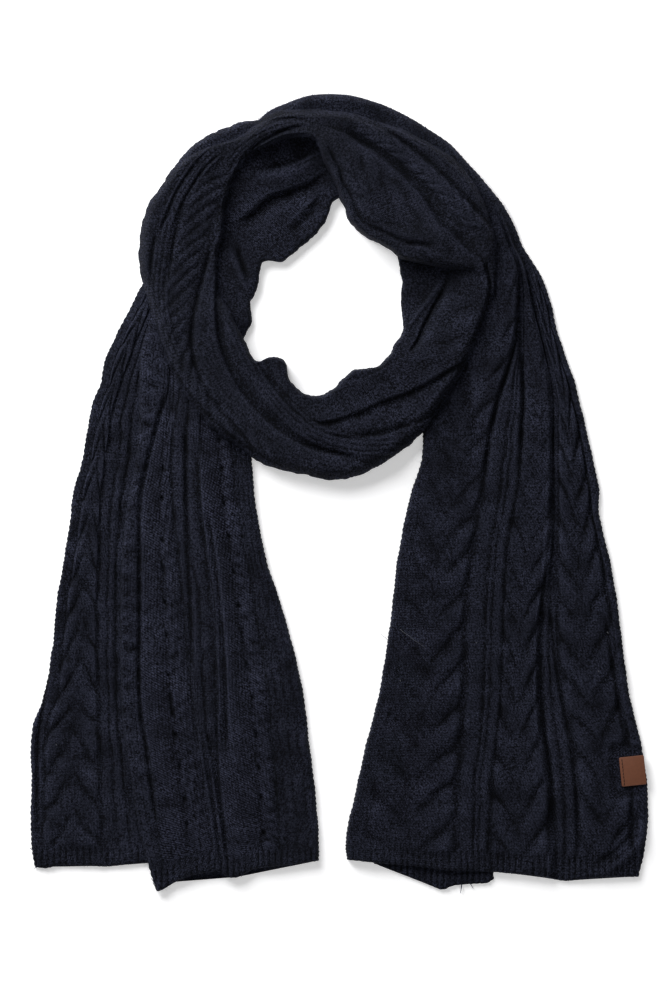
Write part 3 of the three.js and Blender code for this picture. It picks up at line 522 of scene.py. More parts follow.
def beside_line(path, x, y):
    """Signed distance of each place from a smooth line, in mm and positive on its right, with the length walked."""
    points = smooth_line(path)
    nearest = np.full(x.shape, np.inf)
    side = np.zeros(x.shape)
    walked = np.zeros(x.shape)
    length = 0.0
    for (ax, ay), (bx, by) in zip(points[:-1], points[1:]):
        dx, dy = bx - ax, by - ay
        reach = math.hypot(dx, dy)
        share = np.clip(((x - ax) * dx + (y - ay) * dy) / reach**2, 0, 1)
        away = np.hypot(x - ax - share * dx, y - ay - share * dy)
        closer = away < nearest
        nearest = np.where(closer, away, nearest)
        side = np.where(closer, np.sign((y - ay) * dx - (x - ax) * dy), side)
        walked = np.where(closer, length + share * reach, walked)
        length += reach
    step = grid_mm()
    return nearest * side * step, walked * step, length * step


def end_fade(walked, length, over):
    """1 along a line, falling softly to 0 at its two ends."""
    over = min(over, 0.4 * length)
    return smooth(walked / over) * smooth((length - walked) / over)


# Over how many mm folds and bundles fade at their ends, the pitch of the holes in the reverse side's lumps,
# and how far a purl row slants
FOLD_FADE = 26.0
LANE_FADE = 14.0
HOLE_STEP = 26.4
PURL_SLANT = -0.6


def folds_relief(folds, x, y):
    """Soft ridges and troughs along their paths."""
    sum_up = np.zeros(x.shape)
    for fold in folds:
        away, walked, length = beside_line(fold["path"], x, y)
        half = np.where(away < 0, fold["left"], fold["right"])
        sum_up += fold["rise"] * np.exp(-((away / half) ** 2)) * end_fade(walked, length, FOLD_FADE)
    return sum_up


def rib_shape(share):
    """A rib's round top between two narrow grooves, share counting ribs."""
    return 1 - (1 - np.abs(np.sin(np.pi * share))) ** 1.7


def bundle_shape(p, borders):
    """Ribs side by side, each between two of the borders, p running across the bundle."""
    place = np.interp(p, borders, np.arange(len(borders)))
    return rib_shape(place)


def ribs_relief(ribs, x, y):
    """Bundles of ribs along their paths."""
    sum_up = np.zeros(x.shape)
    for rib in ribs:
        away, walked, length = beside_line(rib["path"], x, y)
        inside = smooth((rib["half"] - np.abs(away)) / 1.2)
        away = away + 0.35 * uneven(x, y, 33, 40)
        sum_up += rib["rise"] * rib_shape(away / rib["pitch"]) * inside * end_fade(walked, length, LANE_FADE)
    return sum_up


def strand_shape(phase):
    """A cable's plump strand, 1 on its back and 0 in the sharp groove before the next one."""
    return np.abs(np.sin(np.pi * phase)) ** 0.6


def cable_shape(p, length, point, rise, period, sway, left_half=1.0, lean=0.95):
    """The strands of a cable: p runs across it, length along it, point says which way its V opens."""
    inward = np.clip(1 - np.abs(2 * p - 1), 0, 1)
    phase = length / period - point * lean * inward**1.35 + 0.12 * np.sign(p - 0.5) + 0.07 * sway
    strand = strand_shape(phase)
    border = smooth((inward - 0.16 * (1 - strand)) / 0.2)
    border = mix(1, border, np.where(p < 0.5, left_half, 1))
    middle = smooth((inward - 0.35) / 0.65)
    firm = (0.82 + 0.18 * sway) * mix(left_half, 1, smooth(2.2 * p - 0.4))
    return rise * firm * border * mix(strand, 0.8, 0.72 * middle) * np.where((p > 0) & (p < 1), 1, 0)


def cables_relief(cables, x, y):
    """Cables along their paths."""
    sum_up = np.zeros(x.shape)
    for cable in cables:
        away, walked, length = beside_line(cable["path"], x, y)
        p = mix(cable["first"], cable["last"], 0.5 + 0.5 * away / cable["half"])
        raised = cable_shape(p, walked, cable["point"], cable["rise"], cable["period"], uneven(x, y, 31, 50),
                             lean=cable["lean"])
        sum_up += raised * smooth((cable["half"] - np.abs(away)) / 2.5) * end_fade(walked, length, LANE_FADE)
    return sum_up


def uneven(x, y, seed, wave):
    """A smooth unevenness between about -1 and 1, from crossed sine waves of a few lengths."""
    rng = np.random.default_rng(seed)
    sum_up = np.zeros(x.shape)
    for _ in range(7):
        angle, shift = rng.uniform(0, 2 * np.pi, 2)
        length = wave * rng.uniform(0.6, 1.6)
        sum_up += np.sin(2 * np.pi * (x * np.cos(angle) + y * np.sin(angle)) / length + shift)
    return sum_up / 3.5


def blurred(values, reach):
    """Values averaged over a square window of points that reaches so far to each side."""
    for axis in (0, 1):
        padded = np.concatenate([values.take([0] * reach, axis), values, values.take([-1] * reach, axis)], axis)
        total = np.cumsum(padded, axis)
        total = np.concatenate([np.zeros_like(total.take([0], axis)), total], axis)
        span = values.shape[axis]
        window = 2 * reach + 1
        values = (total.take(range(window, window + span), axis) - total.take(range(span), axis)) / window
    return values


# Reach in points and weight of the two windows that tell a ridge from a groove; the knit's colour uses this as painted
# shade in grooves and painted highlight on ridges
RIDGE_WINDOWS = ((3, 0.7), (9, 0.35))


def ridges(relief):
    """How far each point stands up from its surroundings, from -1 in a groove to 1 on a ridge."""
    return np.tanh(sum(weight * (relief - blurred(relief, reach)) for reach, weight in RIDGE_WINDOWS))


def to_part(x, y):
    """A place on the layout grid in the part's frame, in mm."""
    return (x - GRID_MIDDLE_X) * grid_mm(), (GRID_MIDDLE_Y - y) * grid_mm()


def knit_mesh(name, top, bottom, uv, attributes):
    """A closed sheet from its top points, rows by columns, and its fewer underside points, all in mm."""
    rows, tops = top.shape[:2]
    ring = np.concatenate([top, bottom], 1)
    size = ring.shape[1]
    vertices = ring.reshape(-1, 3) * MM
    i, j = np.meshgrid(np.arange(rows - 1), np.arange(size), indexing="ij")
    k = (j + 1) % size
    quads = np.stack([i * size + j, i * size + k, (i + 1) * size + k, (i + 1) * size + j], -1).reshape(-1, 4)
    faces = np.concatenate([quads[:, [0, 1, 2]], quads[:, [0, 2, 3]]])
    caps = end_cap(ring[0], tops, 0, True), end_cap(ring[-1], tops, (rows - 1) * size, False)
    faces = np.concatenate([faces, *caps])
    a, b, c = (vertices[faces[:, n]] for n in range(3))
    if np.einsum("ij,ij->i", a, np.cross(b, c)).sum() < 0:
        faces = faces[:, ::-1]
    mesh = bpy.data.meshes.new(name)
    mesh.from_pydata(vertices.tolist(), [], faces.tolist())
    flat = np.concatenate([uv, uv[:, np.linspace(tops - 1, 0, size - tops).astype(int)]], 1).reshape(-1, 2)
    corners = np.empty(len(mesh.loops), np.int32)
    mesh.loops.foreach_get("vertex_index", corners)
    mesh.uv_layers.new(name="Stitches").data.foreach_set("uv", (flat[corners] * MM).astype(np.float32).ravel())
    for attribute, values in attributes.items():
        whole = np.concatenate([values, np.zeros((rows, size - tops))], 1)
        mesh.attributes.new(attribute, "FLOAT", "POINT").data.foreach_set("value", whole.astype(np.float32).ravel())
    mesh.polygons.foreach_set("use_smooth", np.ones(len(mesh.polygons), bool))
    mesh.update()
    piece = bpy.data.objects.new(name, mesh)
    bpy.context.scene.collection.objects.link(piece)
    return piece


def end_cap(ring, tops, base, turned):
    """Triangles that close an end, between its top points and the fewer underside points nearest to them."""
    flat = ring[:, :2]
    faces = []
    low = len(ring) - 1
    for top in range(tops - 1):
        faces.append((top, top + 1, low))
        while low > tops and (top + 2 == tops or np.hypot(*(flat[top + 1] - flat[low - 1]))
                              < np.hypot(*(flat[top + 1] - flat[low]))):
            faces.append((top + 1, low - 1, low))
            low -= 1
    faces = np.array(faces) + base
    return faces[:, ::-1] if turned else faces


# A band's underside points as shares of its width, and the reach in mm of its uneven rims
BAND_UNDERSIDE = (0.97, 0.75, 0.5, 0.25, 0.03)
BAND_RIM = 3
LEAST_HEIGHT = 1.2


def band(name, rows, folds=(), ribs=(), cables=(), edge=(3.5, 9.0), end_edge=(0, 0), seed=1):
    """A wound stretch: sections from its inner to its outer side, rounded at both, flat below."""
    step = sizes().mesh_step / MM
    ends = [column(rows, key) for key in ("inX", "inY", "outX", "outY")]
    t, length, whole = even_rows(ends, step)
    in_x, in_y, out_x, out_y = (along(end, t)[:, None] for end in ends)
    width = np.hypot(out_x - in_x, out_y - in_y) * grid_mm()
    count = int(round(width.max() / step))
    even = np.linspace(0, 1, count + 1)
    u = mix(even, 0.5 - 0.5 * np.cos(np.pi * even), 0.45)[None, :]
    bow = along(column(rows, "bow"), t)[:, None] if "bow" in rows[0] else 0
    sag = 4 * bow * grid_mm() * u * (1 - u) / width
    x = mix(in_x, out_x, u) + (out_y - in_y) * sag
    y = mix(in_y, out_y, u) - (out_x - in_x) * sag
    crown = mix(along(column(rows, "inHigh"), t)[:, None], along(column(rows, "outHigh"), t)[:, None], smooth(u))
    side = quarter_round(u * width, edge[0]) * quarter_round((1 - u) * width, edge[1])
    start, end = (quarter_round(far[:, None], max(reach, 0.01)) if reach else 1
                  for far, reach in ((length, end_edge[0]), (whole - length, end_edge[1])))
    end = mix(end, 1, smooth((u - 0.72) / 0.2))
    shape = side * start * end
    relief = folds_relief(folds, x, y) + ribs_relief(ribs, x, y) + cables_relief(cables, x, y)
    relief += 0.5 * uneven(x, y, seed, 60)
    z = crown * mix(0.1, 1, shape) + relief * shape
    rim = np.exp(-((u * width / BAND_RIM) ** 2)) - np.exp(-(((1 - u) * width / BAND_RIM) ** 2))
    ripple = rim * (0.8 * uneven(x, y, seed + 60, 20) + 0.35 * uneven(x, y, seed + 61, 6))
    ripple = ripple * grid_mm() / width
    part_x, part_y = to_part(x + ripple * (out_x - in_x), y + ripple * (out_y - in_y))
    top = np.stack([part_x, part_y, np.maximum(z, LEAST_HEIGHT)], -1)
    low = np.array(BAND_UNDERSIDE)[None, :]
    low_x, low_y = to_part(mix(in_x, out_x, low), mix(in_y, out_y, low))
    bottom = np.stack([low_x, low_y, np.zeros_like(low_x)], -1)
    uv = np.stack([u * width.max() + 0 * z, length[:, None] + 0 * z], -1)
    return knit_mesh(name, top, bottom, uv, {"purl": np.zeros_like(z), "ridge": ridges(relief)})


def across_share(p, t, rows, lane):
    """How far across the tail each point of a lane is."""
    borders = []
    for key in ("start", "end"):
        shares = [(row[lane[key]] - row["leftX"]) / (row["rightX"] - row["leftX"]) for row in rows]
        borders.append(along(np.array(shares), t)[:, None])
    return mix(*borders, p)


def led_rows(lead, rows):
    """A tail's rows with a band's rows before them, which keep the first row's lanes in proportion."""
    first = rows[0]
    span = first["rightX"] - first["leftX"]
    shares = {key: (value - first["leftX"]) / span for key, value in first.items() if not key.endswith("Y")}
    before = []
    for row in lead[:-1]:
        far = row["outX"] + (0.01 if row["outX"] == row["inX"] else 0)
        made = {key: mix(row["inX"], far, share) for key, share in shares.items()}
        made.update(leftY=row["inY"], rightY=row["outY"])
        before.append(made)
    return before + list(rows)


def tail(name, rows, lanes, hem, folds=(), under=None, pressed=None, underside=(0.98, 0.5, 0.02), seed=1,
         hem_rows=2.4, start_length=0.0, lead=(), coarser=1.0):
    """A laid tail: lanes of cable, ribs and plain knit between the tables' lane borders, down to a ribbed hem.
    under gives its underside's height where it lies on another layer, pressed where something presses it down;
    lead is a band's rows that it starts with, and coarser widens its mesh."""
    size = sizes()
    step = size.mesh_step / MM * coarser
    leading = max(0, len(lead) - 1)
    rows = led_rows(lead, rows) if lead else rows
    ends = [column(rows, key) for key in ("leftX", "leftY", "rightX", "rightY")]
    t, length, whole = even_rows(ends, step)
    last = len(rows) - 1
    left, left_y, right, right_y = (along(end, t)[:, None] for end in ends)
    hem_x, hem_y = np.array(hem, float).T
    to_hem = smooth((t[:, None] - last + hem_rows) / hem_rows)
    below = t[:, None] - leading
    down = smooth(below / (0.45 * (last - leading)))
    from_hem = whole - length[:, None]
    knit_zone = smooth((from_hem - size.hem_height / MM) / 7.0)
    led = smooth(-below / 4) if lead else 0
    shown = mix(0.06, 1, smooth((below + 2.5) / 4)) if lead else 1
    xs, shares, tops, purls = [], [], [], []
    for k, lane in enumerate(lanes):
        start, end = (along(column(rows, lane[key]), t)[:, None] for key in ("start", "end"))
        count = max(3, int(round((end - start).max() * grid_mm() / step)))
        p = np.linspace(0, 1, count + 1)[None, 1 if k else 0:]
        x = mix(start, end, p)
        share = across_share(p, t, rows, lane)
        across = p * (end - start) * grid_mm()
        row_length = length[:, None] + start_length + 0 * x
        room = smooth((end - start) * grid_mm() / 9 - (0.6 if "ribs" in lane["kind"] else 0))
        top_high = mix(lane["topStart"], lane["topEnd"], p)
        z = mix(top_high, mix(lane["hemStart"], lane["hemEnd"], p), down) * (1 - led)
        purl = np.zeros(x.shape)
        flow = uneven(x * 0.6, row_length, seed + k, 26)
        rough = uneven(1.4 * across, row_length, seed + 40 + k, 8)
        bulge = np.sin(np.pi * p)
        raised = 0 * x
        if lane["kind"] == "cable":
            point, left_half, early = lane["parts"]
            raised = cable_shape(p, row_length, point, size.cable_rise / MM, size.cable_length / MM, flow,
                                 left_half)
            raised = (raised - 0.8) * mix(early, 1, smooth(2.4 - from_hem / 150))
        elif "ribs" in lane["kind"]:
            firm = 0.85 + 0.2 * flow if lane["kind"] == "ribs" else mix(0.8, 0.4, down) + 0.25 * flow
            raised = size.rib_rise / MM * firm * bundle_shape(p + 0.03 * flow, lane["parts"]) - 0.6
        elif lane["kind"] == "selvedge":
            lumps = uneven(0.5 * across, row_length, seed + 45, 15) + 0.5 * uneven(across, row_length, seed + 46, 6)
            raised = (1.2 + 0.7 * lumps) * bulge**0.7
            purl += 0.5
        elif lane["kind"] == "lumps":
            hole = np.abs((row_length + 6 * flow) % HOLE_STEP - HOLE_STEP / 2)
            pit = np.exp(-((hole / 3.0) ** 2) - ((across - 1.5) / 1.8) ** 2)
            raised = (1.4 + 0.7 * rough + 0.5 * flow) * bulge**0.8 - 3.2 * pit
            purl += 1
        elif lane["kind"] == "reverse":
            raised = (0.5 + 0.35 * flow) * bulge**0.5
            purl += 1
        else:
            raised = 0.35 * flow * bulge
        z = z + raised * knit_zone * shown * room
        xs.append(x + 0 * t[:, None])
        shares.append(share)
        tops.append(z + 0 * x)
        purls.append(purl)
    x, z, purl = (np.concatenate(part, 1) for part in (xs, tops, purls))
    u = np.concatenate(shares, 1)
    line = mix(left_y, right_y, u)
    end_line = mix(rows[-1]["leftY"], rows[-1]["rightY"], u)
    y = line + to_hem * (soft_line(x, hem_x, hem_y) - end_line)
    width = np.hypot(right - left, right_y - left_y) * grid_mm()
    if lead:
        highs = (np.interp(t, np.arange(leading + 1), column(lead, key))[:, None] for key in ("inHigh", "outHigh"))
        crown = mix(*highs, u)
        z += crown * led
    z += folds_relief(folds, x, y) + 0.45 * uneven(x, y, seed, 55)
    ribs = rib_shape((x + 0.4 * uneven(x, y, seed + 5, 30)) * grid_mm() * MM / size.hem_rib)
    z += (1 - knit_zone) * (1.4 * ribs - 0.9)
    if pressed is not None:
        z = mix(z, np.minimum(z, LABEL_BED), pressed(x, y))
    ridge = ridges(z)
    floor = under(t[:, None], x) if under is not None else 0 * x
    edge = mix(3.2, 7.0, smooth(-below / 3 + 0.5)) if lead else 3.2
    side = quarter_round(u * width, edge) * quarter_round((1 - u) * width, edge)
    side = side * quarter_round(from_hem + 0.05, 2.4)
    rim = floor + 0.9
    z = mix(rim, np.maximum(z, rim + 1), mix(0.06, 1, side))
    wobble = 0.35 * np.sin(2 * np.pi * length[:, None] / 4.1 + 2 * np.sin(length[:, None] / 9)) / grid_mm()
    wobble = wobble + 0.4 * uneven(0 * length[:, None], length[:, None], seed + 70, 17)
    x = x + wobble * (np.exp(-((1 - u) * width / 2) ** 2) - np.exp(-(u * width / 2) ** 2))
    y = y + 0.5 * (ribs - 0.5) * np.exp(-(from_hem / 2.0) ** 2)
    part_x, part_y = to_part(x, y)
    top = np.stack([part_x, part_y, z], -1)
    low = np.array(underside)[None, :]
    low_x = mix(left, right, low)
    low_y = mix(left_y, right_y, low)
    low_end = mix(rows[-1]["leftY"], rows[-1]["rightY"], low)
    low_y = low_y + to_hem * (soft_line(low_x, hem_x, hem_y) - low_end)
    low_z = under(t[:, None], low_x) if under is not None else np.zeros_like(low_x)
    bottom = np.stack([*to_part(low_x, low_y), low_z], -1)
    uv = np.stack([u * width, length[:, None] + PURL_SLANT * purl * u * width], -1)
    return knit_mesh(name, top, bottom, uv, {"purl": purl * knit_zone, "ridge": ridge})


class Graph:
    """A material's or group's nodes, added one after another."""

    def __init__(self, tree):
        self.tree = tree

    def add(self, kind, inputs=None, **settings):
        """A node with its settings, and its inputs by name or place as values or as sockets to link."""
        node = self.tree.nodes.new(kind)
        for key, value in settings.items():
            setattr(node, key, value)
        for key, value in (inputs or {}).items():
            if isinstance(value, bpy.types.NodeSocket):
                self.tree.links.new(value, node.inputs[key])
            else:
                node.inputs[key].default_value = value
        return node

    def math(self, operation, *values):
        """A Math node's result."""
        return self.add("ShaderNodeMath", dict(enumerate(values)), operation=operation).outputs[0]


def new_group(name, inputs, outputs):
    """An empty shader node group with named inputs and outputs, and its two end nodes."""
    tree = bpy.data.node_groups.new(name, "ShaderNodeTree")
    for title, kind, default in inputs:
        socket = tree.interface.new_socket(title, in_out="INPUT", socket_type=kind)
        if default is not None:
            socket.default_value = default
    for title, kind in outputs:
        tree.interface.new_socket(title, in_out="OUTPUT", socket_type=kind)
    graph = Graph(tree)
    return tree, graph, graph.add("NodeGroupInput").outputs, graph.add("NodeGroupOutput")


# Scales of the noise that sways the stitch rows, of the yarn's hairs and of its uneven dye, the sway in metres,
# and the height in metres of the stitches' bump
SWING_SCALE = 90.0
HAIR_SCALE = 620.0
DYE_SCALE = 55.0
SWING = 0.0022
STITCH_BUMP = 0.0016


def stitches_group():
    """Rows of knit stitches as V shapes, or of purl bumps where Purl is 1, from a map in metres."""
    if "Knit stitches" in bpy.data.node_groups:
        return bpy.data.node_groups["Knit stitches"]
    tree, g, given, out = new_group(
        "Knit stitches",
        [("Map", "NodeSocketVector", None), ("Width", "NodeSocketFloat", 0.0024),
         ("Height", "NodeSocketFloat", 0.0020), ("Purl", "NodeSocketFloat", 0.0)],
        [("Height", "NodeSocketFloat")])
    wave = g.add("ShaderNodeTexNoise", {"Vector": given["Map"], "Scale": SWING_SCALE, "Detail": 1.0})
    parts = g.add("ShaderNodeSeparateXYZ", {0: given["Map"]}).outputs
    swing = g.math("MULTIPLY", g.math("SUBTRACT", wave.outputs["Fac"], 0.5), SWING)
    across = g.math("DIVIDE", g.math("ADD", parts[0], swing), given["Width"])
    down = g.math("DIVIDE", g.math("ADD", parts[1], swing), given["Height"])
    half = g.math("ABSOLUTE", g.math("SUBTRACT", g.math("FRACT", across), 0.5))
    legs = g.math("SINE", g.math("MULTIPLY", half, 2 * math.pi))
    lean = g.math("ADD", down, g.math("MULTIPLY", half, 1.3))
    loops = g.math("ABSOLUTE", g.math("SINE", g.math("MULTIPLY", lean, math.pi)))
    knit = g.math("MULTIPLY", g.math("POWER", g.math("MAXIMUM", legs, 0.0), 0.6), g.math("POWER", loops, 0.5))
    rows = g.math("ABSOLUTE", g.math("SINE", g.math("MULTIPLY", down, math.pi)))
    bumps = g.math("ABSOLUTE", g.math("COSINE", g.math("MULTIPLY", across, math.pi)))
    purl = g.math("MULTIPLY", g.math("POWER", rows, 0.6), g.math("MULTIPLY_ADD", bumps, 0.5, 0.5))
    both = g.add("ShaderNodeMix", {"Factor": given["Purl"], "A": knit, "B": purl}, data_type="FLOAT")
    g.tree.links.new(both.outputs["Result"], out.inputs["Height"])
    return tree


def fibre_group():
    """The yarn's hairiness and its uneven dye, over Object coordinates."""
    if "Yarn fibre" in bpy.data.node_groups:
        return bpy.data.node_groups["Yarn fibre"]
    tree, g, given, out = new_group(
        "Yarn fibre", [("Place", "NodeSocketVector", None)],
        [("Hairs", "NodeSocketFloat"), ("Patches", "NodeSocketFloat")])
    fine = g.add("ShaderNodeTexNoise",
                 {"Vector": given["Place"], "Scale": HAIR_SCALE, "Detail": 2.0, "Roughness": 0.85})
    wide = g.add("ShaderNodeTexNoise",
                 {"Vector": given["Place"], "Scale": DYE_SCALE, "Detail": 3.0, "Roughness": 0.55})
    g.tree.links.new(fine.outputs["Fac"], out.inputs["Hairs"])
    g.tree.links.new(wide.outputs["Fac"], out.inputs["Patches"])
    return tree


def new_material(name):
    """A material with its Principled shader, and a graph to add nodes to."""
    material = bpy.data.materials.new(name)
    material.use_nodes = True
    return material, Graph(material.node_tree), material.node_tree.nodes["Principled BSDF"]


def knit_material(name="Black knit", relief=1.0):
    """Black yarn, matt and slightly hairy, in knit or purl stitches that stand out by their relief and by painted
    shade, with painted shade in the cloth's grooves and painted highlight on its ridges.
    """
    if name in bpy.data.materials:
        return bpy.data.materials[name]
    material, g, shader = new_material(name)
    paint, size = colours(), sizes()
    uv = g.add("ShaderNodeUVMap", uv_map="Stitches").outputs["UV"]
    purl = g.add("ShaderNodeAttribute", attribute_name="purl").outputs["Fac"]
    place = g.add("ShaderNodeTexCoord").outputs["Object"]
    stitch = g.add("ShaderNodeGroup", node_tree=stitches_group())
    for key, value in (("Width", size.stitch_width), ("Height", size.stitch_height)):
        stitch.inputs[key].default_value = value
    g.tree.links.new(uv, stitch.inputs["Map"])
    g.tree.links.new(purl, stitch.inputs["Purl"])
    fibre = g.add("ShaderNodeGroup", node_tree=fibre_group())
    g.tree.links.new(place, fibre.inputs["Place"])
    height = g.math("MULTIPLY_ADD", fibre.outputs["Hairs"], 0.9, stitch.outputs["Height"])
    bump = g.add("ShaderNodeBump", {"Height": height, "Strength": 1.0, "Distance": STITCH_BUMP * relief})
    ridge = g.add("ShaderNodeAttribute", attribute_name="ridge").outputs["Fac"]
    # Painted shade on the stitches, their raised parts lighter than their hollows, with the hairs' random grain,
    # stronger in the dye's patches
    grain = g.math("MULTIPLY_ADD", stitch.outputs["Height"], 0.6, -0.32)
    grain = g.math("ADD", grain, g.math("MULTIPLY_ADD", fibre.outputs["Hairs"], 4.4, -2.2))
    grain = g.math("MULTIPLY", grain, g.math("MULTIPLY_ADD", fibre.outputs["Patches"], 2.4, -0.4))
    # Painted shade and highlight: the colour is darker in the relief's grooves and lighter on its ridges, and lighter
    # on the stitches' raised parts than in their hollows; the pale hairs add a fine random grain and the uneven dye
    # random patches
    shade = g.math("MULTIPLY_ADD", ridge, 0.26, 0.12)
    shade = g.math("ADD", shade, g.math("MULTIPLY", grain, 0.6 * relief))
    shade = g.math("ADD", shade, g.math("MULTIPLY_ADD", fibre.outputs["Patches"], 0.5, -0.16))
    tone = g.add("ShaderNodeMix", {"Factor": shade, "A": (*paint.yarn, 1), "B": (*paint.yarn_hair_and_highlight, 1)},
                 data_type="RGBA")
    g.tree.links.new(tone.outputs["Result"], shader.inputs["Base Color"])
    rough = g.math("MULTIPLY_ADD", fibre.outputs["Hairs"], 0.2, 0.8)
    g.tree.links.new(rough, shader.inputs["Roughness"])
    g.tree.links.new(bump.outputs["Normal"], shader.inputs["Normal"])
    shader.inputs["Specular IOR Level"].default_value = 0.06
    shader.inputs["Sheen Weight"].default_value = 0.02
    shader.inputs["Sheen Roughness"].default_value = 0.45
    shader.inputs["Sheen Tint"].default_value = (0.55, 0.62, 0.85, 1)
    return material


# How much deeper the gathered knit's stitch bump is, and how much stronger its painted stitch shade and hair grain
GATHERED_RELIEF = 1.35


def gathered_material():
    """The same yarn where the cloth is gathered round the neck, with its stitches pushed up: a deeper stitch bump and
    stronger painted stitch shade and hair grain.
    """
    return knit_material("Gathered knit", GATHERED_RELIEF)


def plain_fibre(name, tint):
    """A loose fibre's matt material, uneven along it."""
    if name in bpy.data.materials:
        return bpy.data.materials[name]
    material, g, shader = new_material(name)
    place = g.add("ShaderNodeTexCoord").outputs["Object"]
    noise = g.add("ShaderNodeTexNoise", {"Vector": place, "Scale": 400.0, "Detail": 2.0})
    tone = g.add("ShaderNodeMix", {"Factor": noise.outputs["Fac"], "A": (*(0.4 * c for c in tint), 1),
                                   "B": (*tint, 1)}, data_type="RGBA")
    g.tree.links.new(tone.outputs["Result"], shader.inputs["Base Color"])
    shader.inputs["Roughness"].default_value = 0.9
    shader.inputs["Specular IOR Level"].default_value = 0.1
    return material


def hair_material():
    """The dark fuzz of the yarn."""
    return plain_fibre("Yarn hair", colours().yarn_hair_and_highlight)


def lint_material():
    """Pale lint."""
    return plain_fibre("Pale lint", colours().lint)


def leather_material():
    """Smooth brown leather with a fine grain, darker in random patches."""
    material, g, shader = new_material("Brown leather")
    base = colours().leather
    place = g.add("ShaderNodeTexCoord").outputs["Object"]
    grain = g.add("ShaderNodeTexVoronoi", {"Vector": place, "Scale": 1500.0}, feature="DISTANCE_TO_EDGE")
    cloud = g.add("ShaderNodeTexNoise", {"Vector": place, "Scale": 460.0, "Detail": 4.0, "Roughness": 0.7})
    dark = tuple(0.45 * c for c in base)
    tone = g.add("ShaderNodeMix", {"Factor": g.math("MULTIPLY_ADD", cloud.outputs["Fac"], 0.8, 0.2),
                                   "A": (*dark, 1), "B": (*base, 1)}, data_type="RGBA")
    g.tree.links.new(tone.outputs["Result"], shader.inputs["Base Color"])
    g.tree.links.new(g.math("MULTIPLY_ADD", cloud.outputs["Fac"], 0.3, 0.4), shader.inputs["Roughness"])
    bump = g.add("ShaderNodeBump", {"Height": grain.outputs["Distance"], "Strength": 0.35, "Distance": 0.0003})
    g.tree.links.new(bump.outputs["Normal"], shader.inputs["Normal"])
    return material


def select_edges(piece, wanted, rims_only=False):
    """Selects a piece's edges in edit mode whose direction is wanted, or only those round its top and bottom."""
    bpy.ops.mesh.select_all(action="DESELECT")
    bpy.ops.object.mode_set(mode="OBJECT")
    mesh = piece.data
    flat = {}
    for face in mesh.polygons:
        for key in face.edge_keys:
            flat.setdefault(key, []).append(abs(face.normal.z) > 0.9)
    for edge in mesh.edges:
        a, b = (mesh.vertices[n].co for n in edge.vertices)
        meets = flat[tuple(sorted(edge.vertices))]
        edge.select = wanted((b - a).normalized()) and (not rims_only or any(meets) != all(meets))
    bpy.ops.object.mode_set(mode="EDIT")


def dress(piece, material):
    """Gives a piece its material and lets it ride with the part."""
    piece.data.materials.append(material)
    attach(piece, "root")


def under_back(t, x):
    """Where the turned-back layer lies on the one below, its underside's height in mm."""
    above = x < along(column(BACK_ROWS, "leftX"), t + 0 * x) + SELVEDGE_REACH
    return np.where(above, sizes().wall / MM + LAYER_GAP, 0.0)


def under_right(t, x):
    """Where the right tail lies on the layer turned under it, its underside's height in mm."""
    first = RECESS["fromRow"] + len(SHOULDER_ROWS) - 1
    above = (t + 0 * x > first) & (x > RECESS["fromX"]) & (x < RECESS["toX"])
    return np.where(above, sizes().wall / MM + LAYER_GAP, 0.0)


def label_press(x, y):
    """How far each place of the right tail is pressed down by the sewn label, from 0 to 1."""
    return (smooth((x - PRESSED["fromX"]) / 8) * smooth((y - PRESSED["fromY"]) / 10)
            * smooth((PRESSED["toY"] - y) / 10))


def tubes(name, starts, ways, lengths, radii, curl, seed, sides=3, bends=4):
    """Many closed, tapered, curled fibres in one mesh; starts and ways as rows, lengths and radii in metres."""
    rng = np.random.default_rng(seed)
    count = len(starts)
    ways = ways / np.linalg.norm(ways, axis=1, keepdims=True)
    swings = rng.normal(size=(count, 2, 3)) * curl
    points, heading = [starts], ways
    for step in range(bends):
        heading = heading + swings[:, 0] * math.cos(1.9 * step) + swings[:, 1] * math.sin(1.9 * step)
        heading /= np.linalg.norm(heading, axis=1, keepdims=True)
        points.append(points[-1] + heading * (lengths / bends)[:, None])
    points = np.stack(points, 1)
    aside = np.cross(ways, rng.normal(size=(count, 3)))
    aside /= np.linalg.norm(aside, axis=1, keepdims=True)
    across = np.cross(ways, aside)
    turn = np.arange(sides) * 2 * math.pi / sides
    round_about = aside[:, None] * np.cos(turn)[None, :, None] + across[:, None] * np.sin(turn)[None, :, None]
    thin = np.linspace(1, 0.35, bends + 1)[None, :, None, None] * radii[:, None, None, None]
    rings = points[:, :, None] + round_about[:, None] * thin
    vertices = np.maximum(rings.reshape(-1, 3), (-np.inf, -np.inf, 0))
    i, j = np.meshgrid(np.arange(bends), np.arange(sides), indexing="ij")
    k = (j + 1) % sides
    quads = np.stack([i * sides + j, i * sides + k, (i + 1) * sides + k, (i + 1) * sides + j], -1).reshape(-1, 4)
    base = np.arange(count)[:, None, None] * (bends + 1) * sides
    walls = (quads[None] + base).reshape(-1, 4).tolist()
    first = (np.arange(sides)[::-1] + base[:, :, 0]).tolist()
    last = (np.arange(sides) + bends * sides + base[:, :, 0]).tolist()
    mesh = bpy.data.meshes.new(name)
    mesh.from_pydata(vertices.tolist(), [], walls + first + last)
    piece = bpy.data.objects.new(name, mesh)
    bpy.context.scene.collection.objects.link(piece)
    return piece


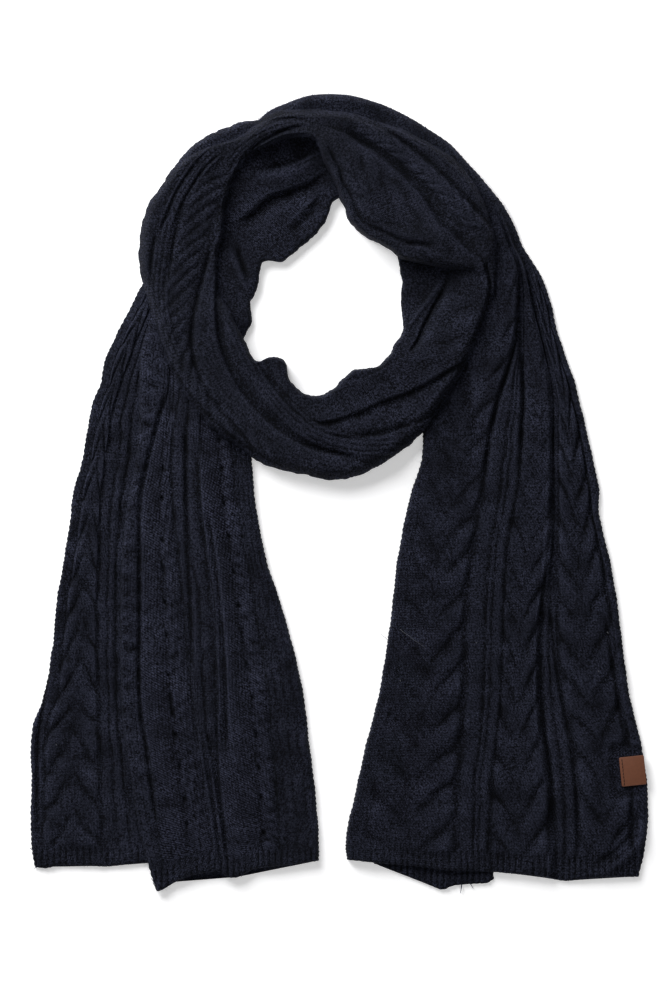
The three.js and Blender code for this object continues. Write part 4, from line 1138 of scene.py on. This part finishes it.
def fuzz(piece, count, seed):
    """Short fibres that stand off a knitted piece, most of them along its outline."""
    rng = np.random.default_rng(seed)
    mesh = piece.data
    places = np.empty(3 * len(mesh.vertices))
    normals = np.empty(3 * len(mesh.vertices))
    mesh.vertices.foreach_get("co", places)
    mesh.vertex_normals.foreach_get("vector", normals)
    places, normals = places.reshape(-1, 3), normals.reshape(-1, 3)
    upward = np.flatnonzero(normals[:, 2] > 0.15)
    steep = upward[normals[upward, 2] < 0.6]
    chosen = np.concatenate([rng.choice(upward, count // 3), rng.choice(steep, count - count // 3)])
    ways = normals[chosen] * [1, 1, 0.35] + rng.normal(size=(count, 3)) * [0.5, 0.5, 0.12]
    starts = places[chosen] - normals[chosen] * 0.0003
    return tubes(piece.name.replace("knit", "fuzz"), starts, ways, rng.uniform(0.0015, 0.0048, count),
                 rng.uniform(0.00006, 0.00011, count), 0.35, seed + 1)


# How many hairs each piece has, and the seed of their random places
FUZZ = {"neck_loop_knit": (1500, 101), "neck_under_knit": (300, 103), "right_tail_knit": (1700, 105),
        "left_tail_knit": (700, 107), "turned_back_knit": (1200, 109)}


def dress_fuzz(piece):
    """Adds a knitted piece's fuzz."""
    hairs = fuzz(piece, *FUZZ[piece.name])
    dress(hairs, hair_material())
    return hairs


# Loose ends of yarn: where each starts and where it points on the layout grid, its length and thickness in mm
YARN_ENDS = table(
    "x y toX toY high length thick",
    (462, 884, 461, 892, 2.0, 8, 0.55),
    (470, 883, 474, 890, 2.0, 6, 0.4),
    (36, 852, 28, 848, 2.4, 6, 0.6),
    (40, 866, 32, 869, 2.0, 6, 0.5),
    (155, 884, 151, 878, 3.4, 6, 0.5),
    (156, 888, 153, 884, 3.0, 5, 0.45),
    (449, 146, 458, 158, 12.0, 12, 0.35),
    (388, 640, 381, 634, 6.0, 9, 0.22),
)
# Pale fibres caught in the knit
LINT = table(
    "x y toX toY high length thick",
    (607, 632, 609, 634, 9.5, 1.6, 0.6),
    (598, 671, 600, 672, 9.5, 1.3, 0.5),
    (400, 680, 401, 682, 11.5, 1.1, 0.5),
    (476, 642, 477, 644, 12.5, 1.1, 0.45),
    (400, 629, 424, 648, 13.0, 26, 0.16),
    (56, 744, 57, 746, 8.5, 1.2, 0.4),
)


def fibres(name, rows, curl, seed):
    """The fibres of a table as one mesh."""
    starts = np.array([(*to_part(row["x"], row["y"]), row["high"]) for row in rows]) * MM
    ends = np.array([(*to_part(row["toX"], row["toY"]), row["high"]) for row in rows]) * MM
    return tubes(name, starts, ends - starts, column(rows, "length") * MM, column(rows, "thick") * MM, curl, seed,
                 sides=6, bends=8)


class SCARF_OT_neck_loop(bpy.types.Operator):
    """Knit the wound loop, from under the flap round the front and over the top to the flap"""
    bl_idname = "scarf.neck_loop"
    bl_label = "Neck loop"

    def execute(self, context):
        piece = band("neck_loop_knit", LOOP_ROWS, LOOP_FOLDS, LOOP_RIBS, LOOP_CABLES, end_edge=(0, 5), seed=3)
        dress(piece, gathered_material())
        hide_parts("front_loop", "neck_band_over")
        hairs = dress_fuzz(piece)
        return {"FINISHED"}


class SCARF_OT_neck_under(bpy.types.Operator):
    """Knit the lower pass behind the neck"""
    bl_idname = "scarf.neck_under"
    bl_label = "Lower pass"

    def execute(self, context):
        piece = band("neck_under_knit", UNDER_ROWS, UNDER_FOLDS, UNDER_RIBS, edge=(3.0, 6.0), seed=4)
        dress(piece, gathered_material())
        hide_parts("neck_band_under", "neck_band_under_back_edge")
        hairs = dress_fuzz(piece)
        return {"FINISHED"}


class SCARF_OT_right_tail(bpy.types.Operator):
    """Knit the roll over the top that runs down into the right tail, and the layer turned under its hem"""
    bl_idname = "scarf.right_tail"
    bl_label = "Right tail"

    def execute(self, context):
        piece = tail("right_tail_knit", RIGHT_ROWS, RIGHT_LANES, RIGHT_HEM, RIGHT_FOLDS, under_right, label_press,
                     (0.985, 0.75, 0.56, 0.52, 0.07, 0.04, 0.015), seed=11, lead=SHOULDER_ROWS, coarser=1.16)
        dress(piece, knit_material())
        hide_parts("right_tail", "right_shoulder")
        hairs = dress_fuzz(piece)
        below = tail("turned_under_knit", TURNED_UNDER_ROWS, TURNED_UNDER_LANES, TURNED_UNDER_HEM, hem_rows=1,
                     seed=12)
        dress(below, knit_material())
        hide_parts("right_tail_turned_under")
        return {"FINISHED"}


class SCARF_OT_left_tail(bpy.types.Operator):
    """Knit the left tail and the layer turned back over it"""
    bl_idname = "scarf.left_tail"
    bl_label = "Left tail"

    def execute(self, context):
        piece = tail("left_tail_knit", LEFT_ROWS, LEFT_LANES, LEFT_HEM, LEFT_FOLDS, seed=21, start_length=9)
        dress(piece, knit_material())
        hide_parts("left_tail")
        hairs = dress_fuzz(piece)
        back = tail("turned_back_knit", BACK_ROWS, BACK_LANES, BACK_HEM, BACK_FOLDS, under_back,
                    underside=(0.985, 0.5, 0.12, 0.08, 0.015), seed=22)
        dress(back, knit_material())
        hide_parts("left_tail_turned_back")
        hairs = dress_fuzz(back)
        return {"FINISHED"}


class SCARF_OT_label(bpy.types.Operator):
    """Sew on the leather label"""
    bl_idname = "scarf.label"
    bl_label = "Leather label"

    def execute(self, context):
        low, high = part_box("leather_label")
        middle = (low + high) / 2
        turn = math.radians(LABEL_TURN)
        bpy.ops.object.select_all(action="DESELECT")
        bpy.ops.mesh.primitive_cube_add(size=1)
        label = context.object
        label.name = "label_leather"
        wide, tall, thick = LABEL_SIZE
        label.scale = (wide, tall, thick)
        bpy.ops.object.transform_apply(location=False, rotation=False, scale=True)
        bpy.ops.object.mode_set(mode="EDIT")
        bpy.ops.mesh.select_mode(type="EDGE")
        select_edges(label, lambda way: abs(way.z) > 0.9)
        bpy.ops.mesh.bevel(offset=LABEL_CORNER, segments=5)
        bpy.ops.mesh.select_all(action="SELECT")
        select_edges(label, lambda way: abs(way.z) < 0.1, rims_only=True)
        bpy.ops.mesh.bevel(offset=LABEL_EDGE, segments=3)
        bpy.ops.object.mode_set(mode="OBJECT")
        label.location = middle
        label.rotation_euler.z = turn
        bpy.ops.object.transform_apply(location=True, rotation=True, scale=True)
        bpy.ops.object.shade_smooth_by_angle(angle=math.radians(40))
        dress(label, leather_material())
        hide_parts("leather_label")
        rows = np.arange(SEAM_STITCHES) - (SEAM_STITCHES - 1) / 2
        pitch = tall / (SEAM_STITCHES + 0.6)
        across = LABEL_SEAM - wide / 2
        starts = np.stack([0 * rows + across, rows * pitch - 0.36 * pitch, 0 * rows + thick / 2], 1)
        ways = np.array([(0.12, 1.0, 0.0)] * SEAM_STITCHES)
        spin = np.array([[math.cos(turn), math.sin(turn), 0], [-math.sin(turn), math.cos(turn), 0], [0, 0, 1]])
        lengths, radii = np.full(SEAM_STITCHES, 0.72 * pitch), np.full(SEAM_STITCHES, SEAM_THREAD)
        seam = tubes("label_stitches", starts @ spin + np.array(middle), ways @ spin, lengths, radii, 0.03, 5,
                     sides=8, bends=4)
        dress(seam, plain_fibre("Label thread", colours().thread))
        return {"FINISHED"}


class SCARF_OT_loose_yarn(bpy.types.Operator):
    """Leave a few ends of yarn at the hems, and some lint"""
    bl_idname = "scarf.loose_yarn"
    bl_label = "Loose yarn"

    def execute(self, context):
        dress(fibres("yarn_ends", YARN_ENDS, 0.16, 71), hair_material())
        dress(fibres("lint", LINT, 0.10, 73), lint_material())
        return {"FINISHED"}


# The stage: its lamps, the room's light, the floor's own glow, and the camera's lens in mm with its extra height
LAMPS = table(
    "name place size power",
    ("key light", (-0.95, 1.35, 1.02), 1.2, 65.0),
    ("fill light", (0.5, -2.0, 1.5), 1.6, 13.0),
)
ROOM_LIGHT = 0.13
FLOOR_SIZE = 12
FLOOR_GLOW = 0.36
LENS = 250
CAMERA_LIFT = 0.008
WHITE = (1, 1, 1, 1)


class SCARF_OT_stage(bpy.types.Operator):
    """Lay a plain pale floor, light it softly and point the camera straight down"""
    bl_idname = "scarf.stage"
    bl_label = "Stage"

    def execute(self, context):
        scene = context.scene
        bpy.ops.object.select_all(action="DESELECT")
        bpy.ops.mesh.primitive_plane_add(size=FLOOR_SIZE)
        floor = context.object
        floor.name = "floor"
        material, g, shader = new_material("Pale floor")
        shader.inputs["Base Color"].default_value = (*colours().floor, 1)
        shader.inputs["Roughness"].default_value = 0.9
        shader.inputs["Emission Color"].default_value = WHITE
        shader.inputs["Emission Strength"].default_value = FLOOR_GLOW
        floor.data.materials.append(material)
        for row in LAMPS:
            light = bpy.data.lights.new(row["name"], "AREA")
            light.size = row["size"]
            light.energy = row["power"]
            lamp = bpy.data.objects.new(row["name"], light)
            scene.collection.objects.link(lamp)
            lamp.location = row["place"]
            lamp.rotation_euler = (-Vector(row["place"])).to_track_quat("-Z", "Y").to_euler()
        world = bpy.data.worlds.new("Soft studio")
        world.use_nodes = True
        background = world.node_tree.nodes["Background"]
        background.inputs["Color"].default_value = WHITE
        background.inputs["Strength"].default_value = ROOM_LIGHT
        scene.world = world
        scene.view_settings.view_transform = "Standard"
        lens = bpy.data.cameras.new("camera")
        lens.lens = LENS
        camera = bpy.data.objects.new("camera", lens)
        scene.collection.objects.link(camera)
        x, y = to_part(PHOTO_WIDTH / 2, PHOTO_HEIGHT / 2)
        tall = PHOTO_HEIGHT * grid_mm() * MM
        camera.location = (x * MM, y * MM, tall * lens.lens / lens.sensor_width + CAMERA_LIFT)
        lens.clip_end = 100
        scene.camera = camera
        return {"FINISHED"}


STEPS = (SCARF_OT_stage, SCARF_OT_neck_loop, SCARF_OT_neck_under, SCARF_OT_right_tail, SCARF_OT_left_tail,
         SCARF_OT_label, SCARF_OT_loose_yarn)


class SCARF_PT_panel(bpy.types.Panel):
    """Lists the scarf's steps"""
    bl_idname = "SCARF_PT_panel"
    bl_label = "Scarf"
    bl_space_type = "VIEW_3D"
    bl_region_type = "UI"
    bl_category = "Scarf"

    def draw(self, context):
        for step in STEPS:
            self.layout.operator(step.bl_idname)


CLASSES = (ScarfSizes, ScarfColours, *STEPS, SCARF_PT_panel)


def register():
    """Adds the classes and the scene's properties."""
    for each in CLASSES:
        bpy.utils.register_class(each)
    bpy.types.Scene.scarf_sizes = bpy.props.PointerProperty(type=ScarfSizes)
    bpy.types.Scene.scarf_colours = bpy.props.PointerProperty(type=ScarfColours)


def unregister():
    """Takes them away again."""
    del bpy.types.Scene.scarf_colours
    del bpy.types.Scene.scarf_sizes
    for each in reversed(CLASSES):
        bpy.utils.unregister_class(each)


def main():
    """Builds everything in order."""
    register()
    bpy.ops.scarf.stage()
    bpy.ops.scarf.neck_loop()
    bpy.ops.scarf.neck_under()
    bpy.ops.scarf.right_tail()
    bpy.ops.scarf.left_tail()
    bpy.ops.scarf.label()
    bpy.ops.scarf.loose_yarn()


if __name__ == "__main__":
    main()
